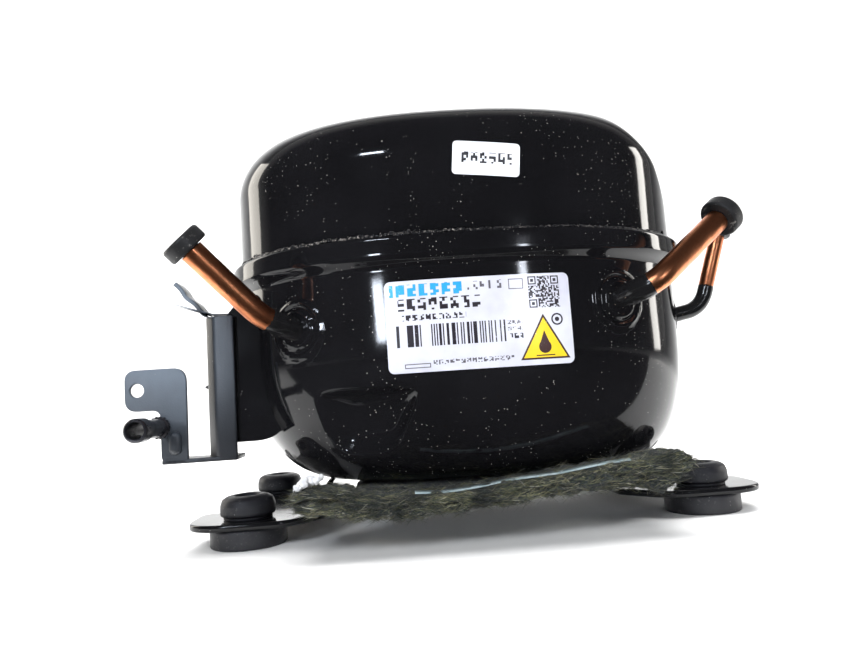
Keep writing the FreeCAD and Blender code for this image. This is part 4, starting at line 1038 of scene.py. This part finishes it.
def under_pot(points, gap):
    """Points inside the pot come straight down to just under it; the surface is found by halving."""
    x, y, z = points[..., 0], points[..., 1], points[..., 2]
    reaches = tuple(zip((2.1, 2.6, 2.4), ROUND_WIDTHS, (HALF_LENGTH, HALF_LENGTH, HALF_DEPTH)))

    def outside(level):
        """Whether the points lie outside the pot's plan at their levels."""
        left, right, depth = [pot_reach(level, *reach) for reach in reaches]
        along = np.abs(x) / np.where(x > 0, right, left)
        return along ** PLAN_POWER + (np.abs(y) / depth) ** PLAN_POWER > 1

    low, high = np.full_like(z, POT_LOW), np.full_like(z, POT_LOW + POT_ROUND)
    for _ in range(18):
        middle = (low + high) / 2
        still = outside(middle)
        low, high = np.where(still, middle, low), np.where(still, high, middle)
    return np.stack((x, y, np.minimum(z, low - gap)), axis=-1)


def mat_grid(columns=96, stations=420):
    """Rounded sections carried along the mat between its low and high lines, with clefts and a rough nap."""
    x = np.linspace(MAT_LOW[0][0], MAT_LOW[-1][0], stations)
    low = np.interp(x, *zip(*MAT_LOW)) + 0.35 * np.sin(x * 0.9) + 0.25 * np.sin(x * 2.3 + 1)
    high = np.interp(x, *zip(*MAT_HIGH)) + 0.22 * np.sin(x * 1.1 + 2)
    end = np.minimum(1, np.sqrt(np.clip(np.minimum(x - x[0], x[-1] - x) / 2.2, 0, 1)))
    turn = np.linspace(0, 2 * np.pi, columns, endpoint=False)
    c, s = np.cos(turn), np.sin(turn)
    wide = np.sign(c) * np.abs(c) ** 0.62
    tall = np.sign(s) * np.abs(s) ** 0.8
    middle_y, half_y = (MAT_FRONT + MAT_BACK) / 2, (MAT_BACK - MAT_FRONT) / 2
    y = middle_y + half_y * wide[None, :] * (0.9 + 0.1 * end[:, None])
    z = ((low + high) / 2)[:, None] + ((high - low) / 2 * end)[:, None] * tall[None, :]
    share = (z - low[:, None]) / (high - low)[:, None]
    front = smooth(-wide, 0.2, 0.9)[None, :]
    left, right = smooth(-x, 25, 52)[:, None], smooth(x, 20, 50)[:, None]
    fold = 0.56 + 0.07 * np.sin(x * 0.21)[:, None] + 0.05 * np.sin(x * 0.73)[:, None]
    cleft = (1.6 + 4.4 * left + 1.4 * right) * np.exp(-((share - fold) / 0.085) ** 2)
    second = (1.0 + 1.2 * right) * np.exp(-((share - 0.25 - 0.06 * np.sin(x * 0.4)[:, None]) / 0.07) ** 2)
    bulge = 0.8 * np.cos(x * 0.31 + 1)[:, None] * (share - 0.5)
    y = y + front * (cleft + second + bulge)
    grid = np.stack((np.broadcast_to(x[:, None], y.shape), y, z), axis=-1) * MM
    nap = 0.55 * waves(grid * (0.45, 1, 1), 7 * MM, 41) + 0.35 * waves(grid * (0.35, 1, 1), 2.6 * MM, 42)
    nap += 0.22 * waves(grid * (0.4, 1, 1), 1.1 * MM, 43)
    out = -grid_normals(grid)
    return under_pot(grid + (MM * nap * (0.35 + 0.65 * end[:, None]))[..., None] * out, 0.5 * MM)


def mat_tongue(columns=64, stations=60):
    """The part of the mat pushed under the pot: a flat rounded slab with a rough nap."""
    x = np.linspace(-45.5, 51.5, stations)
    turn = np.linspace(0, 2 * np.pi, columns, endpoint=False)
    c, s = np.cos(turn), np.sin(turn)
    end = np.sqrt(np.clip(np.minimum(x - x[0], x[-1] - x) / 2, 0, 1))
    y = -33 + 21.5 * np.sign(c) * np.abs(c) ** 0.4
    z = 16.6 + 2.4 * np.sign(s) * np.abs(s) ** 0.7
    grid = np.stack(np.broadcast_arrays(x[:, None], y[None, :], 16.6 + (z[None, :] - 16.6) * end[:, None]),
                    axis=-1) * MM
    return grid - (0.3 * MM * waves(grid, 2.4 * MM, 44))[..., None] * grid_normals(grid)


def fibres(surface, count, seed):
    """Loose fibres: each starts on the surface and runs mostly along the mat as a curved, thin ribbon."""
    rng = np.random.default_rng(seed)
    rows = rng.integers(1, surface.shape[0] - 1, count)
    columns = rng.integers(0, surface.shape[1], count)
    out = -grid_normals(surface)[rows, columns]
    heading = rng.normal(size=(count, 3)) * (1.0, 0.35, 0.35)
    heading[:, 0] += np.sign(heading[:, 0]) * 0.5
    heading = unit(heading - (heading * out).sum(axis=1, keepdims=True) * out * 0.93)
    length = MM * rng.uniform(1.2, 5.4, count)[:, None]
    lift = MM * rng.gamma(1.3, 0.06, count)[:, None]
    start = surface[rows, columns] - out * 0.1 * MM
    bend = rng.normal(size=(count, 3)) * length * 0.07
    side = unit(np.cross(heading, out)) * MM * rng.uniform(0.04, 0.085, count)[:, None]
    t = np.array([0, 0.35, 0.7, 1])[None, :, None]
    arch = (4 * t * (1 - t) * 0.7 + t * 0.5) * (out * lift)[:, None]
    line = start[:, None] + t * (heading * length)[:, None] + arch
    line = line + (t * t) * bend[:, None]
    width = side[:, None] * np.array([1, 1, 0.8, 0.3])[None, :, None]
    verts = np.stack((line - width, line + width), axis=2).reshape(-1, 3)
    first = np.arange(count)[:, None] * 8 + np.array([0, 2, 4])[None, :]
    faces = np.stack((first, first + 1, first + 3, first + 2), axis=-1).reshape(-1, 4).tolist()
    return (verts, faces), np.repeat(rng.uniform(0.02, 1, count), 8)


def ramp(tree, value, stops):
    """A colour looked up along stops of (place, colour)."""
    made = node(tree, "ValToRGB", {0: value})
    elements = made.color_ramp.elements
    while len(elements) < len(stops):
        elements.new(0.5)
    for element, (place, colour) in zip(elements, stops):
        element.position, element.color = place, colour + (1,)
    return made.outputs[0]


def felt_finish():
    """Mixed recycled fibre: dark green and slate with olive, straw and pale bits, finest along the mat."""
    material, tree, shader = blank("recycled felt")
    place, tone = place_on(tree), read_value(tree, "tone")
    drawn = node(tree, "Mapping", {"Vector": place, "Scale": (0.28, 1, 1),
                                   "Rotation": (0, 0.12, 0)}).outputs[0]
    streak = calc(tree, "MULTIPLY_ADD", noise(tree, drawn, 1700, 4, 0.7), 0.75,
                  calc(tree, "MULTIPLY", noise(tree, place, 110, 3), 0.3))
    own = calc(tree, "GREATER_THAN", tone, 0.0)
    value = node(tree, "Mix", {0: own, 2: spread(tree, streak, 0.34, 0.72), 3: tone}).outputs[0]
    stops = [(0.0, (0.002, 0.003, 0.003)), (0.3, (0.008, 0.011, 0.01)), (0.48, (0.035, 0.045, 0.05)),
             (0.62, (0.075, 0.085, 0.042)), (0.8, (0.17, 0.17, 0.085)), (0.93, (0.36, 0.33, 0.18)),
             (1.0, (0.62, 0.6, 0.5))]
    colour = mixed(tree, spread(tree, noise(tree, place, 90, 3), 0.42, 0.62, 0, 0.75),
                   ramp(tree, value, stops), (0.006, 0.009, 0.008, 1))
    feed(tree, shader, Base_Color=colour, Roughness=0.92, Sheen_Weight=0.15)
    bumped(tree, shader, noise(tree, drawn, 2200, 4, 0.7), 0.9, 0.0008)
    return material


folded = mat_grid()
fuzz, fuzz_tone = fibres(folded, FIBRES, 51)
solid = joined(rings(folded[::-1]), rings(mat_tongue()[::-1]))
tone = np.concatenate((np.zeros(len(solid[0])), fuzz_tone))
mat = make("felt_mat_folded", joined(solid, fuzz), felt_finish(), replaces=("felt_mat",), sharp=0,
           values={"tone": tone})

# ---- Foam crumbs and packing strip -------------------------------------------------------------------
# Bits of the packing that stayed behind: crumbs of white expanded foam at the mat's left end, and the
# edge of a thin pale plastic strip caught between the mat and the belly.

CRUMBS = ((-59.5, -71, 24.4, 1.7), (-57.2, -69.5, 25.1, 1.5), (-61.4, -70, 22.8, 1.3),
          (-55.4, -71, 25.0, 1.35),
          (-54.2, -68, 25.6, 1.0), (-62.2, -68, 21.6, 1.0), (-58.4, -66, 23.6, 1.5))


def crumb(x, y, z, size, seed):
    """A lumpy ball: radius = size (1 + noise) over a turned half circle."""
    turn = np.linspace(-np.pi / 2, np.pi / 2, 16)[1:-1]
    verts, faces = lathe(np.stack((np.cos(turn), np.sin(turn)), axis=1), (0, 0, 0), (0.3, 0.2, 1),
                         columns=22)
    swell = 1 + 0.16 * waves(verts, 1.3, seed) + 0.07 * waves(verts, 0.5, seed + 1)
    return verts * swell[:, None] * size * MM + np.array((x, y, z)) * MM, faces


def plain_finish(name, light, dark, rough, bump, scale, **more):
    """A mottled pale finish."""
    material, tree, shader = blank(name)
    place = place_on(tree)
    feed(tree, shader, Base_Color=mixed(tree, spread(tree, noise(tree, place, scale, 3), 0.35, 0.65), light,
                                        dark),
         Roughness=spread(tree, noise(tree, place, scale * 1.7, 2), 0.3, 0.7, *rough), **more)
    bumped(tree, shader, noise(tree, place, scale * 3, 3), bump, 0.0003)
    return material


make("foam_crumbs", joined(*[crumb(*each, seed=60 + i) for i, each in enumerate(CRUMBS)]),
     plain_finish("white foam", (0.8, 0.8, 0.8, 1), (0.6, 0.61, 0.64, 1), (0.6, 0.8), 0.5, 500),
     sharp=0)

strip_x = np.linspace(-24, 47, 160)
strip_top = np.interp(strip_x, *zip(*MAT_HIGH)) + 0.6 + 0.2 * np.sin(strip_x * 0.21)
strip_y = -70.5 + 1.2 * np.sin(strip_x * 0.09 + 1) + 0.12 * np.sin(strip_x * 0.7)
section = np.array([(-1.2, -0.35), (-1.2, -0.1), (1.5, 0.4), (1.5, 0.15)])
strip = np.stack(np.broadcast_arrays(strip_x[:, None], strip_y[:, None] + section[:, 0],
                                     strip_top[:, None] + section[:, 1]),
                 axis=-1) * MM
make("packing_strip", rings(strip[::-1]), plain_finish("packing film", (0.5, 0.6, 0.62, 1),
                                                       (0.3, 0.4, 0.43, 1), (0.15, 0.3), 0.3, 200),
     sharp=0)

# ---- Pump, motor and springs -------------------------------------------------------------------------
# Inside the sealed shell: a lamination stack with wound teeth, a magnet rotor, and a small cast-iron
# piston pump on four coil springs. Oily, clean machine parts that keep the solids' own shapes.


def metal(name, light, dark, rough, grain=(1, 1, 1), scale=400, bump=0.25, metallic=1.0):
    """Bare metal: two close tones in a noise that a grain may stretch, with oil-dulled roughness."""
    material, tree, shader = blank(name)
    place = place_on(tree)
    drawn = node(tree, "Mapping", {"Vector": place, "Scale": grain}).outputs[0]
    tone = spread(tree, noise(tree, drawn, scale, 4), 0.35, 0.65)
    feed(tree, shader, Base_Color=mixed(tree, tone, light, dark), Metallic=metallic,
         Roughness=spread(tree, noise(tree, place, 80, 4), 0.3, 0.7, *rough))
    bumped(tree, shader, noise(tree, drawn, scale * 2, 3), bump, 0.0001)
    return material


def banded(name, light, dark, pitch, rough, metallic=1.0, strength=0.6):
    """Layers up the axis: a wave along Z of one layer's pitch for colour and bump, crossed by noise."""
    material, tree, shader = blank(name)
    place = place_on(tree)
    level = node(tree, "SeparateXYZ", {0: place}).outputs[2]
    wave = calc(tree, "SINE", calc(tree, "MULTIPLY", level, 2 * math.pi / (pitch * MM)))
    tone = calc(tree, "MULTIPLY_ADD", wave, 0.3, noise(tree, place, 300, 3))
    feed(tree, shader, Base_Color=mixed(tree, spread(tree, tone, 0.2, 0.85), dark, light),
         Metallic=metallic,
         Roughness=spread(tree, noise(tree, place, 120, 3), 0.3, 0.7, *rough))
    bumped(tree, shader, wave, strength, 0.00015)
    return material


CORNERS = ("front_left", "front_right", "back_left", "back_right")
STEEL = metal("machined steel", (0.42, 0.42, 0.44, 1), (0.3, 0.3, 0.32, 1), (0.18, 0.34), grain=(1, 1, 6))
SPRING = metal("spring wire", (0.3, 0.3, 0.33, 1), (0.2, 0.2, 0.23, 1), (0.2, 0.32), scale=900)
IRON = metal("cast iron", (0.16, 0.155, 0.15, 1), (0.09, 0.088, 0.085, 1), (0.4, 0.62), scale=700, bump=0.7,
             metallic=0.85)
dress(SHELL_PAINT, "terminal_body")
dress(STEEL, "terminal_pins", "counterweight", "oil_pickup", "yoke_carrier", "valve_plate",
      "discharge_muffler", "discharge_loop", *["floor_peg_" + c for c in CORNERS],
      *["stator_bolt_" + c for c in CORNERS])
dress(SPRING, "suction_reed", "discharge_reed")
dress(IRON, "crankcase", "crankshaft", "slider_block", "yoke_and_piston")
dress(banded("lamination stack", (0.32, 0.32, 0.34, 1), (0.1, 0.1, 0.12, 1), 0.5, (0.3, 0.45)),
      "stator_core", "rotor_core")
dress(banded("enamelled winding", (0.62, 0.2, 0.05, 1), (0.28, 0.07, 0.02, 1), 0.9, (0.2, 0.34), 0.75, 1.0),
      "stator_windings")
dress(metal("sintered magnet", (0.12, 0.12, 0.13, 1), (0.07, 0.07, 0.08, 1), (0.35, 0.5), scale=1400,
            metallic=0.5), "rotor_magnets")
dress(metal("die-cast alloy", (0.62, 0.62, 0.62, 1), (0.48, 0.48, 0.49, 1), (0.34, 0.5), scale=600,
            bump=0.5), "cylinder_head")
dress(plain_finish("gasket fibre", (0.07, 0.12, 0.09, 1), (0.04, 0.075, 0.06, 1), (0.6, 0.75), 0.6, 900),
      "cylinder_gasket", "head_gasket")
dress(plain_finish("muffler plastic", (0.55, 0.53, 0.46, 1), (0.47, 0.45, 0.39, 1), (0.3, 0.42), 0.25, 300),
      "suction_muffler")

# ---- Suspension springs ------------------------------------------------------------------------------
# Cold-wound spring wire with closed end coils. The lower end stands over a peg on the pot's floor and the
# upper end holds a stator bolt's head.

COIL_RADIUS, COIL_WIRE, COIL_LOW, COIL_HIGH, COIL_TURNS = 6.6, 0.8, 25.3, 43.6, 6
PEG_X, PEG_Y, HELD_END = 36, 30, 2


def coil(x, y, stations=360, columns=12):
    """A wire along a helix: it turns evenly, and rises evenly but for a flat stretch at each end."""
    t = np.linspace(0, 1, stations)
    turn = 2 * np.pi * COIL_TURNS * t
    rise = np.clip((t - 0.08) / 0.84, 0, 1)
    level = COIL_LOW + COIL_WIRE + (COIL_HIGH - COIL_LOW - 2 * COIL_WIRE) * rise
    radial = np.stack((np.cos(turn), np.sin(turn), np.zeros(stations)), axis=1)
    centre = COIL_RADIUS * radial + np.stack((np.full(stations, x), np.full(stations, y), level), axis=1)
    upward = np.cross(radial, unit(np.gradient(centre, axis=0)))
    around = np.linspace(0, 2 * np.pi, columns, endpoint=False)[None, :, None]
    grid = centre[:, None] + COIL_WIRE * (np.cos(around) * radial[:, None] + np.sin(around) * upward[:, None])
    return rings(grid[:, ::-1] * MM)


for corner in CORNERS:
    spring_x = -PEG_X if "left" in corner else PEG_X
    spring_y = -PEG_Y if "front" in corner else PEG_Y
    spring = make("spring_wound_" + corner, coil(spring_x, spring_y), SPRING,
                  body=None, replaces=("spring_" + corner,), sharp=0)
    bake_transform(spring)

# ---- Stage -------------------------------------------------------------------------------------------
# A pale floor that sweeps up into a backdrop, soft lamps over and beside it, a black card that only the
# reflections see, and the camera low in front of the seam.

CAMERA_AT = (-27.4 * MM, -301 * MM, 50 * MM)
CAMERA_YAW, CAMERA_PITCH, CAMERA_ROLL = math.radians(3), math.radians(5.8), math.radians(-3.8)
FOCAL_PER_WIDTH = 700 / 861


def sweep_grid():
    """Floor and backdrop: a line that runs back flat, turns up in a quarter circle and climbs, widened."""
    turn = np.linspace(0, np.pi / 2, 24)
    back, bend = 1.1, 0.7
    y = np.concatenate(([-3.2, -0.6, 0.4], back + bend * np.sin(turn), [back + bend] * 2))
    z = np.concatenate(([0, 0, 0], bend * (1 - np.cos(turn)), [1.4, 3.6]))
    x = np.linspace(-4, 4, 3)[None, :]
    return np.stack((np.broadcast_to(x, (len(y), 3)), np.broadcast_to(y[:, None], (len(y), 3)),
                     np.broadcast_to(z[:, None], (len(y), 3))), axis=-1)


def floor_finish():
    """Matt pale paper with the faintest mottle."""
    material, tree, shader = blank("paper sweep")
    mottle = spread(tree, noise(tree, place_on(tree), 6, 3), 0.3, 0.7)
    feed(tree, shader, Base_Color=mixed(tree, mottle, (0.86, 0.86, 0.855, 1), (0.9, 0.9, 0.895, 1)),
         Roughness=0.9)
    return material


def lamp(name, where, aim, size, power, colour=(1, 1, 1)):
    """A rectangular soft lamp at a place, turned to its aim."""
    data = bpy.data.lights.new(name, "AREA")
    data.shape, data.size, data.size_y, data.energy, data.color = "RECTANGLE", size[0], size[1], power, colour
    made = bpy.data.objects.new(name, data)
    bpy.context.scene.collection.objects.link(made)
    forward = unit(np.array(aim, dtype=float) - np.array(where, dtype=float))
    made.location = where
    made.rotation_euler = Vector(forward).to_track_quat("-Z", "Y").to_euler()
    return made


def flag():
    """A black card lying on the floor, seen only in reflections, which keeps the gloss paint black."""
    material, tree, shader = blank("black card")
    tone = mixed(tree, noise(tree, place_on(tree), 3, 2), (0.004, 0.004, 0.004, 1),
                 (0.007, 0.007, 0.007, 1))
    feed(tree, shader, Base_Color=tone, Roughness=0.95)
    card = bpy.data.meshes.new("black_card")
    corners = [(-1.6, -3, 0.003), (1.6, -3, 0.003), (1.6, -0.08, 0.003), (-0.1, -0.08, 0.003),
               (-0.14, -0.118, 0.003),
               (-1.6, -0.118, 0.003)]
    card.from_pydata(corners, [], [(0, 1, 2, 3, 4, 5)])
    card.materials.append(material)
    made = bpy.data.objects.new("black_card", card)
    bpy.context.scene.collection.objects.link(made)
    made.visible_camera = made.visible_diffuse = made.visible_shadow = made.visible_transmission = False
    return made


def aimed_camera():
    """A camera turned by yaw, pitch and roll: its axes are worked out and put in its matrix."""
    yaw, pitch, roll = CAMERA_YAW, CAMERA_PITCH, CAMERA_ROLL
    ahead = np.array([math.sin(yaw) * math.cos(pitch), math.cos(yaw) * math.cos(pitch), math.sin(pitch)])
    side = np.array([math.cos(yaw), -math.sin(yaw), 0])
    up = np.cross(side, ahead)
    c, s = math.cos(roll), math.sin(roll)
    data = bpy.data.cameras.new("camera")
    data.lens = data.sensor_width * FOCAL_PER_WIDTH
    data.clip_start = 0.01
    made = bpy.data.objects.new("camera", data)
    bpy.context.scene.collection.objects.link(made)
    axes = np.stack((c * side + s * up, -s * side + c * up, -ahead, np.array(CAMERA_AT)), axis=1)
    made.matrix_world = Matrix(axes.tolist() + [[0, 0, 0, 1]])
    bpy.context.scene.camera = made


def sky():
    """Soft light all round: dim towards the front and bright, slightly warm, behind."""
    world = bpy.data.worlds.new("studio")
    bpy.context.scene.world = world
    world.use_nodes = True
    tree = world.node_tree
    ways = node(tree, "SeparateXYZ", {0: node(tree, "TexCoord").outputs["Generated"]})
    back = spread(tree, ways.outputs[1], 0.1, 0.75)
    colour = mixed(tree, back, (0.045, 0.045, 0.05, 1), (1.0, 0.985, 0.95, 1))
    tree.links.new(colour, tree.nodes["Background"].inputs["Color"])
    tree.nodes["Background"].inputs["Strength"].default_value = 1.0


verts, faces = rings(sweep_grid(), poles=(False, False), closed=False)
mesh = bpy.data.meshes.new("paper_sweep")
mesh.from_pydata(verts, [], faces)
mesh.shade_smooth()
mesh.materials.append(floor_finish())
paper = bpy.data.objects.new("paper_sweep", mesh)
bpy.context.scene.collection.objects.link(paper)
flag()
sky()
for name, where, aim, size, power in (("top", (0.1, 0.1, 1.3), (0, 0, 0.1), (1.2, 0.8), 17),
                                      ("front", (-0.3, -1.3, 0.9), (0, 0, 0.05), (0.9, 0.6), 13),
                                      ("backdrop", (0, 0.2, 1.9), (0, 1.7, 0.4), (2.4, 0.5), 75)):
    lamp(name, where, aim, size, power).visible_glossy = False
lamp("left", (-0.9, 0.42, 0.4), (0, 0, 0.1), (0.3, 0.7), 3.4, (1, 0.95, 0.86))
lamp("right", (1.1, 0.12, 0.35), (0, 0, 0.1), (0.16, 0.6), 3.4, (1, 0.97, 0.92))
lamp("window", (-0.53, -1.17, 0.22), (0, 0, 0.08), (0.1, 0.12), 2.2, (0.8, 0.88, 1))
lamp("high window", (-0.5, -1.1, 0.68), (0, 0, 0.1), (0.22, 0.05), 3.0, (0.8, 0.88, 1))
lamp("low strip", (0.35, -1.0, 0.2), (0, 0, 0.06), (0.05, 0.16), 1.0, (0.85, 0.9, 1))
aimed_camera()
bpy.context.scene.view_settings.view_transform = "Standard"
